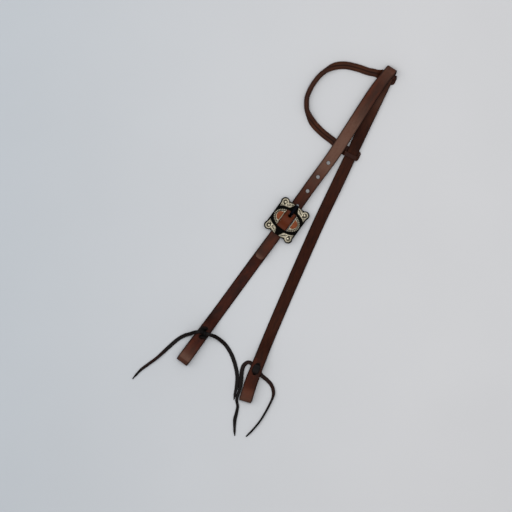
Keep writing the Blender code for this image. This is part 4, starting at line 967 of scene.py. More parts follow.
# The folds' wear values give the far bit fold and the crown fold a lighter band of wear and painted highlight.
stations = flap + fold(flap[-1], main[0], outward, lambda share: (0.5, 0.0)) + main
stations += fold(main[-1], upper[0], over_crown, lambda share: (0.45, 0.0)) + upper + held[1:] + tip
crown = strap("crown_blank", stations, [crown_leather], -1.0)
punches = []
for side in (-1.0, 1.0):
    place = frame_at(far_route, FAR_TIE + side * HOLE_HALF)
    punches.append(punch(crown, place, LACE_HOLE / 2.0, FAR_MAIN - FLAT, FAR_FLAP + FLAT))
for index in range(3):
    distance = FIRST_HOLE + HOLE_SPACING * index
    place, level = frame_at(near_route, distance, BUCKLE_OFFSET), near_height(distance)
    punches.append(punch(crown, place, HOLE_RADIUS, level - FLAT, level + FLAT))
place = frame_at(near_route, BUCKLE_DISTANCE - TONGUE_HOLE, BUCKLE_OFFSET)
punches.append(punch(crown, place, TONGUE_HOLE_RADIUS, BILLET_LEVEL - FLAT, BILLET_LEVEL + FLAT))
crown_piece = settle(crown, "crown_strap_leather", "headstall", "crown_strap", helpers=punches)

# %% [markdown]
# ### The cheek piece
#
# The near side's lower strap. Its lower end is folded round the bit and laced, its upper end is thinned, folded
# round the buckle's heel bar and comes back underneath. A slot there lets the tongue through.

# %% Heights, wear and painted light along the cheek piece
near_flap_start = near_route.length - FLAP_LENGTH + BIT_TURN
back_end = BUCKLE_DISTANCE + 0.046
inside = BUCKLE_DISTANCE + RIM_INNER * 0.85
CHEEK_LEAD = 0.0014
held_under = profile(
    ((BUCKLE_DISTANCE + HEEL_RADIUS - CHEEK_LEAD, BILLET_OVER_HEEL), (inside - CHEEK_LEAD, BILLET_LEVEL))
)
skive = profile(((BUCKLE_DISTANCE + HEEL_RADIUS, CHEEK_TURN), (inside, LEATHER)))
lying = profile(
    (
        (back_end + LEATHER, CHEEK_LEVEL),
        (back_end + LEATHER + 0.03, FLAT),
        (near_flap_start - 0.024, FLAT),
        (near_flap_start, NEAR_MAIN),
        (NEAR_TIE + HOLE_HALF, NEAR_MAIN),
        (near_end - LEATHER, LOOP_HIGH),
    )
)
near_flap_height = profile(
    ((near_flap_start, NEAR_FLAP), (NEAR_TIE + HOLE_HALF, NEAR_FLAP), (near_end - LEATHER, LOOP_LOW))
)


def cheek_height(distance):
    """The cheek lies under the billet in the buckle and settles on the board below it."""
    if distance < inside:
        return held_under(distance) - LEATHER / 2.0 - GAP - skive(distance) / 2.0
    return lying(distance)


# Pale by the bit fold is wear and painted highlight.
cheek_wear_and_light = band(
    (0.26, 0.0, 0.3), (0.32, 0.0, 0.25), (0.335, 0.0, 0.0), (0.42, 0.0, 0.05), (0.435, 0.0, 0.15),
    (0.472, 0.0, 0.0), (0.488, 0.2, 0.0), (0.499, 0.75, 0.0), (0.507, 0.6, 0.0),
)  # fmt: skip

# %% Cheek piece
SLOT_RADIUS, SLOT_HALF = 0.0027, 0.0045
cheek_flap = layer(near_route, near_flap_start, near_end, near_flap_height, near_width, 0.0, cheek_wear_and_light)
cheek_main = layer(near_route, near_end, inside, cheek_height, near_width, 0.08, cheek_wear_and_light)
window = []
for index in range(1, TURN_STATIONS + 1):
    distance = inside + (BUCKLE_DISTANCE - inside) * index / TURN_STATIONS
    along = cheek_main[-1][4] + (inside - distance)
    window += layer(near_route, distance, distance, cheek_height, near_width, along, cheek_wear_and_light, skive)[:1]
lower, thinned = profile(((0.0, CHEEK_TURN / 2.0),)), profile(((0.0, CHEEK_TURN),))
back = layer(near_route, BUCKLE_DISTANCE, back_end, lower, near_width, 0.35, cheek_wear_and_light, thinned)
cheek_out = near_route.at(near_route.length)[1]
inward = -near_route.at(BUCKLE_DISTANCE)[1]
# The bit fold's wear value gives its turn a lighter band of wear and painted highlight.
stations = cheek_flap + fold(cheek_flap[-1], cheek_main[0], cheek_out, lambda share: (0.35, 0.0)) + cheek_main + window
stations += fold(window[-1], back[0], inward, lambda share: (0.0, 0.2)) + back
cheek = strap("cheek_blank", stations, [cheek_leather], 1.0)
punches = []
for side in (-1.0, 1.0):
    place = frame_at(near_route, NEAR_TIE + side * HOLE_HALF)
    punches.append(punch(cheek, place, LACE_HOLE / 2.0, NEAR_FLAP - FLAT, NEAR_MAIN + FLAT))
buckle_place = frame_at(near_route, BUCKLE_DISTANCE, BUCKLE_OFFSET)
punches.append(punch(cheek, buckle_place, SLOT_RADIUS, -0.001, FRAME_TOP, SLOT_HALF))
cheek_leather_piece = settle(cheek, "cheek_piece_leather", "cheek", "cheek_piece", helpers=punches)

# %% [markdown]
# ## The ear piece
#
# A strip of thinner leather is rolled lengthwise until its two edges meet, and sewn along that seam. Round the bend
# the roll stands on its side, and at each end it is flattened into a tab with a slot: half of the tab passes over
# the far leg and half under it. Rolled leather has no hard edges, so the roll, the flat halves and the arches are
# first put together as overlapping bodies and then remeshed into one skin, which is relaxed. The seam and the UV
# maps are worked out afterwards from the roll's middle line.

# %% The ear piece's middle line
ear_shares = ((0.34, 0.036), (0.5325, 0.053), (0.733, 0.090), (0.89, 0.164), (1.014, 0.300), (1.068, 0.4565))
ear_shares += ((1.070, 0.5985), (1.031, 0.692), (0.950, 0.781), (0.783, 0.873), (0.579, 0.929), (0.36, 0.965))
EAR_REACH, EAR_NECK = 0.085, 0.008
tab_half = STRAP_WIDTH / 2.0 + 0.0041
upper_tab, lower_tab = far_route.at(UPPER_TAB)[0], far_route.at(LOWER_TAB)[0]
ear_down = (lower_tab - upper_tab).normalized()
ear_side = side_of(ear_down)
ear_span = (lower_tab - upper_tab).length
root_out, neck_out = tab_half - EAR_LEATHER / 2.0, tab_half - EAR_LEATHER / 2.0 + 0.0098
ear_points = [upper_tab - ear_side * root_out + ear_down * 0.0006, upper_tab - ear_side * neck_out + ear_down * 0.0022]
ear_points += [upper_tab - ear_side * (EAR_REACH * out) + ear_down * (ear_span * along) for out, along in ear_shares]
ear_points += [lower_tab - ear_side * neck_out, lower_tab - ear_side * root_out]
ear_line = Route(ear_points)
standing = profile(((0.26, 0.0), (0.40, 1.0), (0.62, 1.0), (0.76, 0.0)))
print("ear piece: %.0f mm from tab to tab" % (ear_line.length * 1000))

# %% [markdown]
# The roll is a row of rings whose section goes from a flat strip in the tabs to a rounded one in the bend, with a
# narrow groove for the seam. Over the bend it stands on its side, which lifts its middle.

# %% Rolling the ear piece
EAR_STEPS, EAR_SIDES = 230, 48


def ear_ring(distance):
    """The roll's place, its directions and its size at a distance from the upper tab."""
    point, heading = ear_line.at(distance)
    from_end = min(distance, ear_line.length - distance)
    rolled = ease((from_end + 0.001) / EAR_NECK)
    stands = standing(distance / ear_line.length)
    width = EAR_TAB_WIDTH - 0.0004 + (EAR_ROLL_WIDTH + 0.0010 * (1.0 - stands) - EAR_TAB_WIDTH) * rolled
    height = EAR_LEATHER + (EAR_ROLL_HEIGHT + 0.0013 * stands - EAR_LEATHER) * rolled
    roll = math.pi / 2.0 * stands
    level = height / 2.0 + (width - height) / 2.0 * math.sin(roll) + 0.0002
    turned = Matrix.Rotation(roll, 3, heading)
    across = turned @ side_of(heading)
    return point + UP * level, across, turned @ UP, width, height, rolled


mesh = bmesh.new()
rows = []
for step in range(EAR_STEPS + 1):
    centre, across, up, width, height, rolled = ear_ring(ear_line.length * step / EAR_STEPS)
    ring = []
    for index in range(EAR_SIDES):
        angle = 2.0 * math.pi * (index + 0.5) / EAR_SIDES
        flatness = 2.0 + 3.0 * (1.0 - rolled)
        x = width / 2.0 * math.copysign(abs(math.cos(angle)) ** (2.0 / flatness), math.cos(angle))
        y = height / 2.0 * math.copysign(abs(math.sin(angle)) ** (2.0 / flatness), math.sin(angle))
        if y > 0.0:
            y -= 0.0013 * rolled * math.exp(-((x / 0.0006) ** 2))
        ring.append(mesh.verts.new(centre + across * x + up * y))
    rows.append(ring)
skin_rings(mesh, rows)
roll_body = finish_mesh("ear_roll", mesh, [])
print("roll: %d rings of %d points" % (len(rows), EAR_SIDES))

# %% [markdown]
# Each tab is made of four plain bars: the half that passes under the far leg, the half that is arched over it, the
# rounded end that joins the two, and the root that meets the roll.

# %% Bars, and lines with turned corners
ARCH_CLEARANCE, ARCH_BEND, TAB_CORNER = 0.0006, 0.0014, 0.004


def bar_body(points, across, width, thick):
    """A plain swept bar with rounded edges, for remeshing."""
    rows, made = [], bmesh.new()
    for index, point in enumerate(points):
        tangent = (points[min(index + 1, len(points) - 1)] - points[max(index - 1, 0)]).normalized()
        up = across.cross(tangent)
        shape = ring_section(width[index], thick, 0.0007)
        rows.append([made.verts.new(point + across * x + up * y) for x, y, *_ in shape])
    skin_rings(made, rows)
    return finish_mesh("tab_part", made, [])


def turned_line(knots, radius, steps):
    """A line through corners, each turned with the same radius."""
    line = [Vector(knots[0])]
    for before, corner, after in zip(knots, knots[1:], knots[2:]):
        corner = Vector(corner)
        start = corner + (Vector(before) - corner).normalized() * radius
        end = corner + (Vector(after) - corner).normalized() * radius
        centre = start + end - corner
        for step in range(steps + 1):
            angle = math.pi / 2.0 * step / steps
            line.append(centre + (start - centre) * math.cos(angle) + (end - centre) * math.sin(angle))
    line.append(Vector(knots[-1]))
    return line


# %% The slotted tabs at both ends of the roll


def tab_bodies(centre, outward):
    """The flat half, the arched half, the rounded end that joins them and the root."""
    along = ear_down * outward
    place = Matrix.Translation(centre) @ Matrix((ear_side, along, UP)).transposed().to_4x4()
    half_thick = EAR_LEATHER / 2.0
    edge, wall = EAR_TAB_WIDTH / 2.0, STRAP_WIDTH / 2.0 + ARCH_CLEARANCE + half_thick
    half_width = edge - GAP / 2.0
    across = place.to_3x3() @ Vector((0.0, 1.0, 0.0))

    def bar(line, middle, widths):
        return bar_body([place @ Vector((x, middle, z)) for x, z in line], across, widths, EAR_LEATHER)

    flat_line = [(-tab_half + step * (wall + tab_half) / 8, EAR_BASE) for step in range(9)]
    knots = [(-tab_half, EAR_BASE), (-wall, EAR_BASE), (-wall, EAR_OVER), (wall, EAR_OVER), (wall, EAR_BASE)]
    knots.append((tab_half - 0.002, EAR_BASE))
    arch_line = turned_line(knots, ARCH_BEND, 6)
    end_line, end_widths = [], []
    for step in range(11):
        x = wall - half_thick + (tab_half - wall + half_thick) * step / 10
        past = max(x - (tab_half - TAB_CORNER), 0.0)
        end_line.append((x, EAR_BASE))
        end_widths.append(2.0 * (edge - TAB_CORNER + math.sqrt(max(TAB_CORNER**2 - past**2, 1e-8))))
    root_line = [(-tab_half - 0.0005 + step * (tab_half - wall + 0.0008) / 4, EAR_BASE) for step in range(5)]
    return [
        bar(flat_line, -(edge + GAP) / 2.0, [half_width] * len(flat_line)),
        bar(arch_line, (edge + GAP) / 2.0, [half_width] * len(arch_line)),
        bar(end_line, 0.0, end_widths),
        bar(root_line, 0.0, [EAR_TAB_WIDTH] * len(root_line)),
    ]


# %% One skin for the whole ear piece
bodies = [roll_body, *tab_bodies(upper_tab, -1.0), *tab_bodies(lower_tab, 1.0)]
with bpy.context.temp_override(active_object=bodies[0], selected_editable_objects=bodies, object=bodies[0]):
    bpy.ops.object.join()
remesh = roll_body.modifiers.new("one skin", "REMESH")
remesh.mode, remesh.voxel_size = "VOXEL", 0.00042
relax = roll_body.modifiers.new("relaxed", "SMOOTH")
relax.factor, relax.iterations = 0.5, 4
graph = bpy.context.evaluated_depsgraph_get()
ear_data = bpy.data.meshes.new_from_object(roll_body.evaluated_get(graph), depsgraph=graph)
bpy.data.objects.remove(roll_body, do_unlink=True)
print("ear piece: %d points" % len(ear_data.vertices))

# %% [markdown]
# The remeshed skin has lost its UV maps. Each of its points is set against the nearest ring of the roll: how far
# along it is, how far across, and how near the seam, whose groove is darkened.

# %% The ear piece's UV maps
ear_rings = [ear_ring(ear_line.length * step / 400) for step in range(401)]
centres, acrosses, ups = (np.array([ring[part] for ring in ear_rings]) for part in range(3))
half_widths = np.array([ring[3] / 2.0 for ring in ear_rings])
spots = np.empty(len(ear_data.vertices) * 3)
ear_data.vertices.foreach_get("co", spots)
spots = spots.reshape(-1, 3)
chunks = np.array_split(spots, len(spots) // 4000 + 1)
nearest = np.concatenate([((chunk[:, None] - centres[None]) ** 2).sum(2).argmin(1) for chunk in chunks])
offset = spots - centres[nearest]
x = (offset * acrosses[nearest]).sum(1)
y = (offset * ups[nearest]).sum(1)
from_upper, from_lower = ((spots - np.array(tab)) @ np.array(ear_side) for tab in (upper_tab, lower_tab))
in_tab = np.maximum(from_upper, from_lower) > -root_out
rolled = np.array([ring[5] for ring in ear_rings])[nearest] * ~in_tab
seam = np.exp(-((x / 0.00075) ** 2)) * (y > 0.0) * rolled
edge = np.where(in_tab, 0.55, np.clip(np.abs(x) / half_widths[nearest], 0.0, 1.0) * 0.75)
flat_x = np.where(in_tab, from_upper, x)
flat_along = np.where(in_tab, (spots @ np.array(ear_down)) + 0.4, nearest / 400.0 * ear_line.length)
uv_maps = {"lie": (flat_along, flat_x), "state": (edge, np.ones(len(x))), "wear_and_light": (0.12 * rolled, 0.85 * seam)}
loops = np.empty(len(ear_data.loops), dtype=np.int64)
ear_data.loops.foreach_get("vertex_index", loops)
for label, (first, second) in uv_maps.items():
    pairs = np.stack([first[loops], second[loops]], axis=1).ravel()
    ear_data.uv_layers.new(name=label).data.foreach_set("uv", pairs)
ear_data.materials.clear()
ear_data.materials.append(ear_leather)
ear_data.shade_smooth()
ear_skin = bpy.data.objects.new("ear_piece_leather", ear_data)
bpy.context.scene.collection.objects.link(ear_skin)
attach(ear_skin, "ear")
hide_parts("ear_piece")

# %% [markdown]
# ## The buckle
#
# The buckle is a cast and engraved plate: a blackened ground, four polished corner overlays that are each a round
# scroll with two leaves, an oval rim of small beads, and two copper fields beside the strap. Such relief is a
# height map with a clean outline. An outline is filled with fine triangles, a rule lifts each of their points, and
# how deep a point lies is kept as an attribute, which becomes the patina; on the overlays it also holds painted shade.

# %% Distances from outlines and lines


def inside_of(points, outline):
    """Which points lie inside an outline."""
    x, y = points[:, 0][:, None], points[:, 1][:, None]
    a, b = outline, np.roll(outline, -1, axis=0)
    crosses = ((a[:, 1] > y) != (b[:, 1] > y)) & (
        x < (b[:, 0] - a[:, 0]) * (y - a[:, 1]) / np.where(b[:, 1] == a[:, 1], 1e-12, b[:, 1] - a[:, 1]) + a[:, 0]
    )
    return crosses.sum(1) % 2 == 1


def distance_to(points, line, closed=True):
    """How far each point lies from a line of points."""
    a = line if closed else line[:-1]
    b = np.roll(line, -1, axis=0) if closed else line[1:]
    best = np.full(len(points), 1.0)
    for start, end in zip(a, b):
        span = end - start
        share = np.clip(((points - start) @ span) / max(float(span @ span), 1e-18), 0.0, 1.0)
        best = np.minimum(best, np.linalg.norm(points - start - share[:, None] * span, axis=1))
    return best


def resampled(outline, spacing):
    """A closed outline with points at about equal spacing that keeps its corners."""
    made = []
    for a, b in zip(outline, np.roll(outline, -1, axis=0)):
        count = max(1, round(float(np.linalg.norm(b - a)) / spacing))
        made += [a + (b - a) * step / count for step in range(count)]
    return np.array(made)


# %% Filling an outline with triangles


def between(points, edges):
    """Which points lie inside the first outline and outside the others."""
    good = inside_of(points, edges[0])
    for line in edges[1:]:
        good &= ~inside_of(points, line)
    return good


def spread_points(edges, spacing, rows):
    """A grid of points between the outlines, and rows of points close to each edge, with no two too near."""
    low, high = edges[0].min(0), edges[0].max(0)
    grid = np.stack(np.meshgrid(np.arange(low[0], high[0], spacing), np.arange(low[1], high[1], spacing * 0.87)), -1)
    grid[1::2, :, 0] += spacing / 2.0
    grid = grid.reshape(-1, 2)
    for line in edges:
        after, before = np.roll(line, -1, axis=0), np.roll(line, 1, axis=0)
        normal = np.stack([(after - before)[:, 1], -(after - before)[:, 0]], 1)
        normal /= np.maximum(np.linalg.norm(normal, axis=1), 1e-12)[:, None]
        for row in rows:
            for way in (1.0, -1.0):
                grid = np.concatenate([grid, line + normal * row * way])
    grid = grid[between(grid, edges)]
    far = np.min([distance_to(grid, line) for line in edges], axis=0)
    kept, taken = [], set()
    for index in np.argsort(far):
        if far[index] < rows[0] * 0.9:
            continue
        size = max(min(far[index], spacing) * 0.55, rows[0])
        cell = (round(grid[index][0] / size), round(grid[index][1] / size), round(math.log2(size / rows[0]) * 2))
        if cell not in taken:
            taken.add(cell)
            kept.append(index)
    return grid[kept]


def triangulated(edges, spacing, rows):
    """Flat points, the triangles between them, and how far each point lies from the nearest edge."""
    points = np.concatenate([*edges, spread_points(edges, spacing, rows)])
    joins, start = [], 0
    for line in edges:
        joins += [(start + index, start + (index + 1) % len(line)) for index in range(len(line))]
        start += len(line)
    made = delaunay_2d_cdt([Vector(p) for p in points], joins, [], 0, 1e-7)
    flat, faces = np.array([tuple(v) for v in made[0]]), np.array(made[2])
    away = np.min([distance_to(flat, line) for line in edges], axis=0)
    away[away < 1e-6] = 0.0
    return flat, faces[between(flat[faces].mean(1), edges)], away


# %% The relief maker


def relief(name, outlines, spacing, bottom, top, rule, material, rows=(0.00008, 0.0002, 0.00036)):
    """A cast body: the first outline less the others, lifted by rule(points, distance to edge) -> (height, tarnish and
    painted light).
    """
    edges = [resampled(np.array(outline), spacing * 0.7) for outline in outlines]
    flat, faces, away = triangulated(edges, spacing, rows)
    lift, tarnish_and_light = rule(flat, away)
    mesh = bmesh.new()
    depth = mesh.verts.layers.float.new("tarnish_and_light")
    tops = [mesh.verts.new((x, y, top + z)) for (x, y), z in zip(flat, lift)]
    for vert, value in zip(tops, tarnish_and_light):
        vert[depth] = float(min(max(value, 0.0), 1.0))
    for face in faces:
        mesh.faces.new([tops[index] for index in face])
    mesh.verts.ensure_lookup_table()
    rim = [edge for edge in mesh.edges if len(edge.link_faces) == 1]
    for vert in [vert for vert in mesh.verts if not vert.link_faces]:
        mesh.verts.remove(vert)
    walls = bmesh.ops.extrude_edge_only(mesh, edges=rim)["geom"]
    lowered = [item for item in walls if isinstance(item, bmesh.types.BMVert)]
    for vert in lowered:
        vert.co.z = bottom
        vert[depth] = 0.9
    open_edges = [edge for edge in mesh.edges if len(edge.link_faces) == 1]
    bmesh.ops.triangle_fill(mesh, edges=open_edges, use_beauty=True)
    bmesh.ops.recalc_face_normals(mesh, faces=mesh.faces)
    bmesh.ops.transform(mesh, matrix=buckle_place, verts=mesh.verts)
    obj = finish_mesh(name, mesh, [material], 38.0)
    print("%s: %d faces" % (name, len(obj.data.polygons)))
    return obj


def rounded_edge(away, radius):
    """How far a rounded edge falls below the face."""
    inner = np.clip(radius - away, 0.0, radius)
    return np.sqrt(np.maximum(radius**2 - inner**2, 0.0)) - radius


# %% [markdown]
# ### The plate
#
# The plate's outline is a rectangle with a round lobe at each corner. It was blackened all over, so only its worn
# outer lip and the field inside the beads shine. Round the oval runs a deep channel, and each end bar has a stippled
# black ground.

# %% The plate's outline and its window
LOBE_ALONG, LOBE_ACROSS, LOBE_RADIUS = 0.0203, 0.0170, 0.0062
WINDOW_HALF, WINDOW_LONG = STRAP_WIDTH / 2.0 + 0.0017, 0.0134
RING_ALONG, RING_ACROSS = 0.0138, 0.0203
GROUND_START, GROUND_END, GROUND_WIDE, GROUND_NARROW = 0.0146, 0.0235, 0.0068, 0.0026
STIPPLE_STEP = 0.0011


def plate_outline():
    """The rectangle and the four lobes as one outline, walked round by angle from each lobe's centre."""
    outline = []
    end_meets = LOBE_ACROSS - math.sqrt(LOBE_RADIUS**2 - (FRAME_LONG - LOBE_ALONG) ** 2)
    side_meets = LOBE_ALONG - math.sqrt(LOBE_RADIUS**2 - (FRAME_WIDE - LOBE_ACROSS) ** 2)
    for along, across in ((1, 1), (-1, 1), (-1, -1), (1, -1)):
        centre = np.array((along * LOBE_ALONG, across * LOBE_ACROSS))
        a = np.array((along * FRAME_LONG, across * end_meets))
        b = np.array((along * side_meets, across * FRAME_WIDE))
        start, end = (a, b) if along * across > 0 else (b, a)
        first = math.atan2(*(start - centre)[::-1])
        last = math.atan2(*(end - centre)[::-1])
        while last < first:
            last += 2.0 * math.pi
        for step in range(25):
            angle = first + (last - first) * step / 24
            outline.append(centre + LOBE_RADIUS * np.array((math.cos(angle), math.sin(angle))))
    return outline


def plate_window():
    """The window over the strap, with straight sides and slightly bowed ends."""
    outline = []
    for end in (1.0, -1.0):
        for step in range(13):
            across = WINDOW_HALF * (step / 6.0 - 1.0)
            bow = 0.0012 * (abs(across) / WINDOW_HALF) ** 4
            outline.append((end * (WINDOW_LONG - bow), end * across))
    return outline


# %% Frame plate with its channel, grounds and lips


def oval_distance(points, semi_along, semi_across):
    """How far points lie outside an oval, near enough for relief."""
    radius = np.sqrt((points[:, 0] / semi_along) ** 2 + (points[:, 1] / semi_across) ** 2)
    slope = np.sqrt((points[:, 0] / semi_along**2) ** 2 + (points[:, 1] / semi_across**2) ** 2)
    return (radius - 1.0) * radius / np.maximum(slope, 1.0)


def plate_rule(points, away):
    """Heights and patina of the plate: pale inside the ring of beads, and blackened all round it."""
    outside = oval_distance(points, RING_ALONG, RING_ACROSS)
    along, across = np.abs(points[:, 0]), np.abs(points[:, 1])
    channel = np.clip(outside / 0.0004, 0.0, 1.0) * np.clip((0.0024 - outside) / 0.0005, 0.0, 1.0)
    share = np.clip((along - GROUND_START) / (GROUND_END - GROUND_START), 0.0, 1.0)
    half = GROUND_WIDE + (GROUND_NARROW - GROUND_WIDE) * share
    ground = np.clip((half - across) / 0.0005, 0.0, 1.0) * np.clip((along - GROUND_START) / 0.0004, 0.0, 1.0)
    ground *= np.clip((GROUND_END - along) / 0.0004, 0.0, 1.0)
    stipple = np.sin(points[:, 0] * 2.0 * math.pi / STIPPLE_STEP) * np.sin(points[:, 1] * 2.0 * math.pi / STIPPLE_STEP)
    lift = rounded_edge(away, 0.0005) - 0.00035 * channel - (0.00055 + 0.00010 * stipple) * ground
    pale = np.clip((-0.0030 - outside) / 0.0004, 0.0, 1.0) * (across > WINDOW_HALF)
    lip = np.exp(-(((away - 0.0002) / 0.00022) ** 2)) * (along + across > 0.022)
    return lift, 1.0 - 0.22 * lip - 0.8 * pale


plate = relief("plate", [plate_outline(), plate_window()], 0.00042, FRAME_BOTTOM, FRAME_TOP, plate_rule, silver)

# %% [markdown]
# A narrow polished lip runs along each side of the window, and a lug under each side carries the heel bar. These
# blocks are joined to the plate, because they were cast with it.

# %% Lips and lugs


def block(low, high, tarnish_and_light, bevel):
    """A small silver block with softened edges, in the buckle's own frame."""
    mesh = bmesh.new()
    bmesh.ops.create_cube(mesh, size=1.0)
    size = Vector(high) - Vector(low)
    middle = (Vector(high) + Vector(low)) / 2.0
    bmesh.ops.transform(mesh, matrix=Matrix.Translation(middle) @ Matrix.Diagonal((*size, 1.0)), verts=mesh.verts)
    bmesh.ops.bevel(mesh, geom=mesh.edges[:], offset=bevel, segments=3, profile=0.5, affect="EDGES")
    depth = mesh.verts.layers.float.new("tarnish_and_light")
    for vert in mesh.verts:
        vert[depth] = tarnish_and_light
    bmesh.ops.transform(mesh, matrix=buckle_place, verts=mesh.verts)
    return finish_mesh("block", mesh, [silver])


def joined(name, pieces, body, *nodes):
    """Several meshes as one piece."""
    with bpy.context.temp_override(active_object=pieces[0], selected_editable_objects=pieces, object=pieces[0]):
        bpy.ops.object.join()
    pieces[0].name = name
    pieces[0].data.name = name
    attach(pieces[0], body)
    if nodes:
        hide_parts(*nodes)
    return pieces[0]


LIP_INNER, LIP_OUTER, LIP_HALF, LUG_HALF = 0.0088, 0.0096, 0.0086, 0.0042
parts = [plate]
for side in (1.0, -1.0):
    near_lip, far_lip = sorted((side * LIP_INNER, side * LIP_OUTER))
    low, high = (-LIP_HALF, near_lip, FRAME_TOP - 0.0006), (LIP_HALF, far_lip, FRAME_TOP + 0.0005)
    parts.append(block(low, high, 0.12, 0.0003))
    near_lug, far_lug = sorted((side * (WINDOW_HALF + 0.0012), side * (WINDOW_HALF + 0.0040)))
    foot = HEEL_LEVEL - HEEL_RADIUS - 0.0014
    parts.append(block((-LUG_HALF, near_lug, foot), (LUG_HALF, far_lug, FRAME_BOTTOM + 0.001), 0.75, 0.0006))
frame_piece = joined("buckle_frame_cast", parts, "headstall", "buckle_frame")

# %% [markdown]
# ### Corner overlays
#
# Each overlay is a low dome with a bright-cut scroll in its lobe and a vein with side cuts in each leaf. The cuts
# are V grooves: the rule measures how far a point lies from each engraved line and sinks it, and the same distance
# gives the black that stays in the cut. Painted shade on the dome's flat top leaves its rim and the boss in the
# lobe bright, as painted highlights.

# %% An overlay's outline and its engraved lines
overlay_millimetres = (
    (24.0, 2.9), (22.3, 3.6), (19.9, 4.6), (17.6, 5.7), (16.1, 7.6), (15.3, 10.6), (14.5, 13.8), (13.2, 16.9),
    (11.2, 19.8), (13.2, 20.4), (15.6, 20.5), (17.8, 21.0), (20.3, 21.6), (22.8, 20.9), (24.6, 19.1), (25.3, 16.6),
    (24.8, 14.4), (23.6, 12.9), (22.5, 12.1), (22.9, 10.6), (23.5, 9.0), (23.9, 7.0), (24.2, 4.9),
)  # fmt: skip
SCROLL_HEIGHT = 0.0012
LOBE_CENTRE = (20.2, 16.6)


def engraved_lines(along, across):
    """The cut lines of one overlay, with their widths: a spiral in the lobe, two leaf veins and short side cuts."""

    def placed(pairs, steps=5):
        line = smooth_points([Vector((x, y)) / 1000.0 for x, y in pairs], steps)
        return np.array([(p.x * along, p.y * across) for p in line])

    spiral = []
    for step in range(40):
        angle, radius = math.radians(215.0 - step * 15.0), 3.35 - 2.0 * step / 39
        spiral.append((LOBE_CENTRE[0] + radius * math.cos(angle), LOBE_CENTRE[1] + radius * math.sin(angle)))
    lines = [(placed(spiral, 2), 0.00040)]
    lines.append((placed(((17.4, 12.6), (18.9, 10.3), (20.6, 7.6), (22.6, 4.8))), 0.00034))
    lines.append((placed(((16.4, 14.6), (15.6, 16.8), (14.2, 18.6), (12.6, 19.5))), 0.00030))
    for x, y in ((18.2, 11.3), (19.3, 9.6), (20.4, 7.9), (21.5, 6.3)):
        lines.append((placed(((x, y), (x + 0.9, y + 0.9), (x + 2.1, y + 1.2))), 0.00022))
        lines.append((placed(((x, y), (x - 0.9, y - 0.3), (x - 1.7, y - 1.2))), 0.00022))
    for x, y in ((15.9, 16.0), (14.9, 17.7)):
        lines.append((placed(((x, y), (x + 0.7, y + 1.0), (x + 1.5, y + 1.6))), 0.00020))
    return lines


# %% The four corner overlays


def overlay(index, along, across):
    """One overlay, mirrored by the signs of along and across into its corner."""
    corners = [Vector((x * along, y * across, 0.0)) / 1000.0 for x, y in overlay_millimetres]
    outline = [(p.x, p.y) for p in smooth_points(corners, 6, closed=True)]
    lines = engraved_lines(along, across)

    def rule(points, away):
        rise = np.clip(away / 0.0016, 0.0, 1.0)
        dome = SCROLL_HEIGHT * np.sqrt(rise * (2.0 - rise))
        cut = np.zeros(len(points))
        for line, width in lines:
            cut = np.maximum(cut, np.clip(1.25 - distance_to(points, line, False) / width, 0.0, 1.0))
        cut *= away > 0.0004
        middle = np.array((LOBE_CENTRE[0] * along, LOBE_CENTRE[1] * across)) / 1000.0
        boss = np.exp(-((np.linalg.norm(points - middle, axis=1) / 0.0009) ** 2))
        # Painted shade: the flat top of the dome is darkened, leaving the rim and the boss bright as painted
        # highlights.
        painted_top_shade = 0.26 * np.clip((away - 0.0008) / 0.0006, 0.0, 1.0 - boss)
        return dome * (0.86 + 0.14 * boss) - 0.00042 * cut, 0.95 * cut + 0.6 * np.exp(-away / 0.00022) + painted_top_shade

    piece = relief("overlay", [outline], 0.00024, FRAME_TOP + GAP, FRAME_TOP + GAP, rule, silver, (0.00007, 0.00016))
    piece.name = piece.data.name = "corner_overlay_%d" % index
    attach(piece, "headstall")
    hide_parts("corner_scroll_%d" % index)


for index, (along, across) in enumerate(((1.0, 1.0), (1.0, -1.0), (-1.0, 1.0), (-1.0, -1.0)), 1):
    overlay(index, along, across)

# %% [markdown]
# ### The beaded rim
#
# A ring of little beads with a smooth pale band inside it stands round the oval, as one arc on each side of the
# strap. Repeated things are work for Geometry Nodes: an arc is stretched to the oval, measured off into equal
# steps, a bead is put on each, and the whole is turned once for the other side. The tree's inputs are the sizes,
# so the beads could be made finer by changing one number.

# %% A tree with named inputs, and its result


def node_group(name, inputs):
    """An empty geometry tree with its named inputs and its output."""
    tree = bpy.data.node_groups.new(name, "GeometryNodeTree")
    for label, kind, value in inputs:
        socket = tree.interface.new_socket(name=label, in_out="INPUT", socket_type=kind)
        if value is not None:
            socket.default_value = value
    tree.interface.new_socket(name="Geometry", in_out="OUTPUT", socket_type="NodeSocketGeometry")
    return tree, tree.nodes.new("NodeGroupInput"), tree.nodes.new("NodeGroupOutput")


def run_tree(name, tree, settings):
    """Runs a tree on an empty mesh and returns the result as a plain mesh object."""
    holder = bpy.data.objects.new(name + "_holder", bpy.data.meshes.new(name))
    bpy.context.scene.collection.objects.link(holder)
    change = holder.modifiers.new(name, "NODES")
    change.node_group = tree
    for item in tree.interface.items_tree:
        if item.in_out == "INPUT" and item.name in settings:
            change[item.identifier] = settings[item.name]
    bpy.context.view_layer.update()
    graph = bpy.context.evaluated_depsgraph_get()
    shape = holder.evaluated_get(graph)
    result = bpy.data.meshes.new_from_object(shape, preserve_all_data_layers=True, depsgraph=graph)
    bpy.data.objects.remove(holder, do_unlink=True)
    result.name = name
    made = bpy.data.objects.new(name, result)
    bpy.context.scene.collection.objects.link(made)
    return made


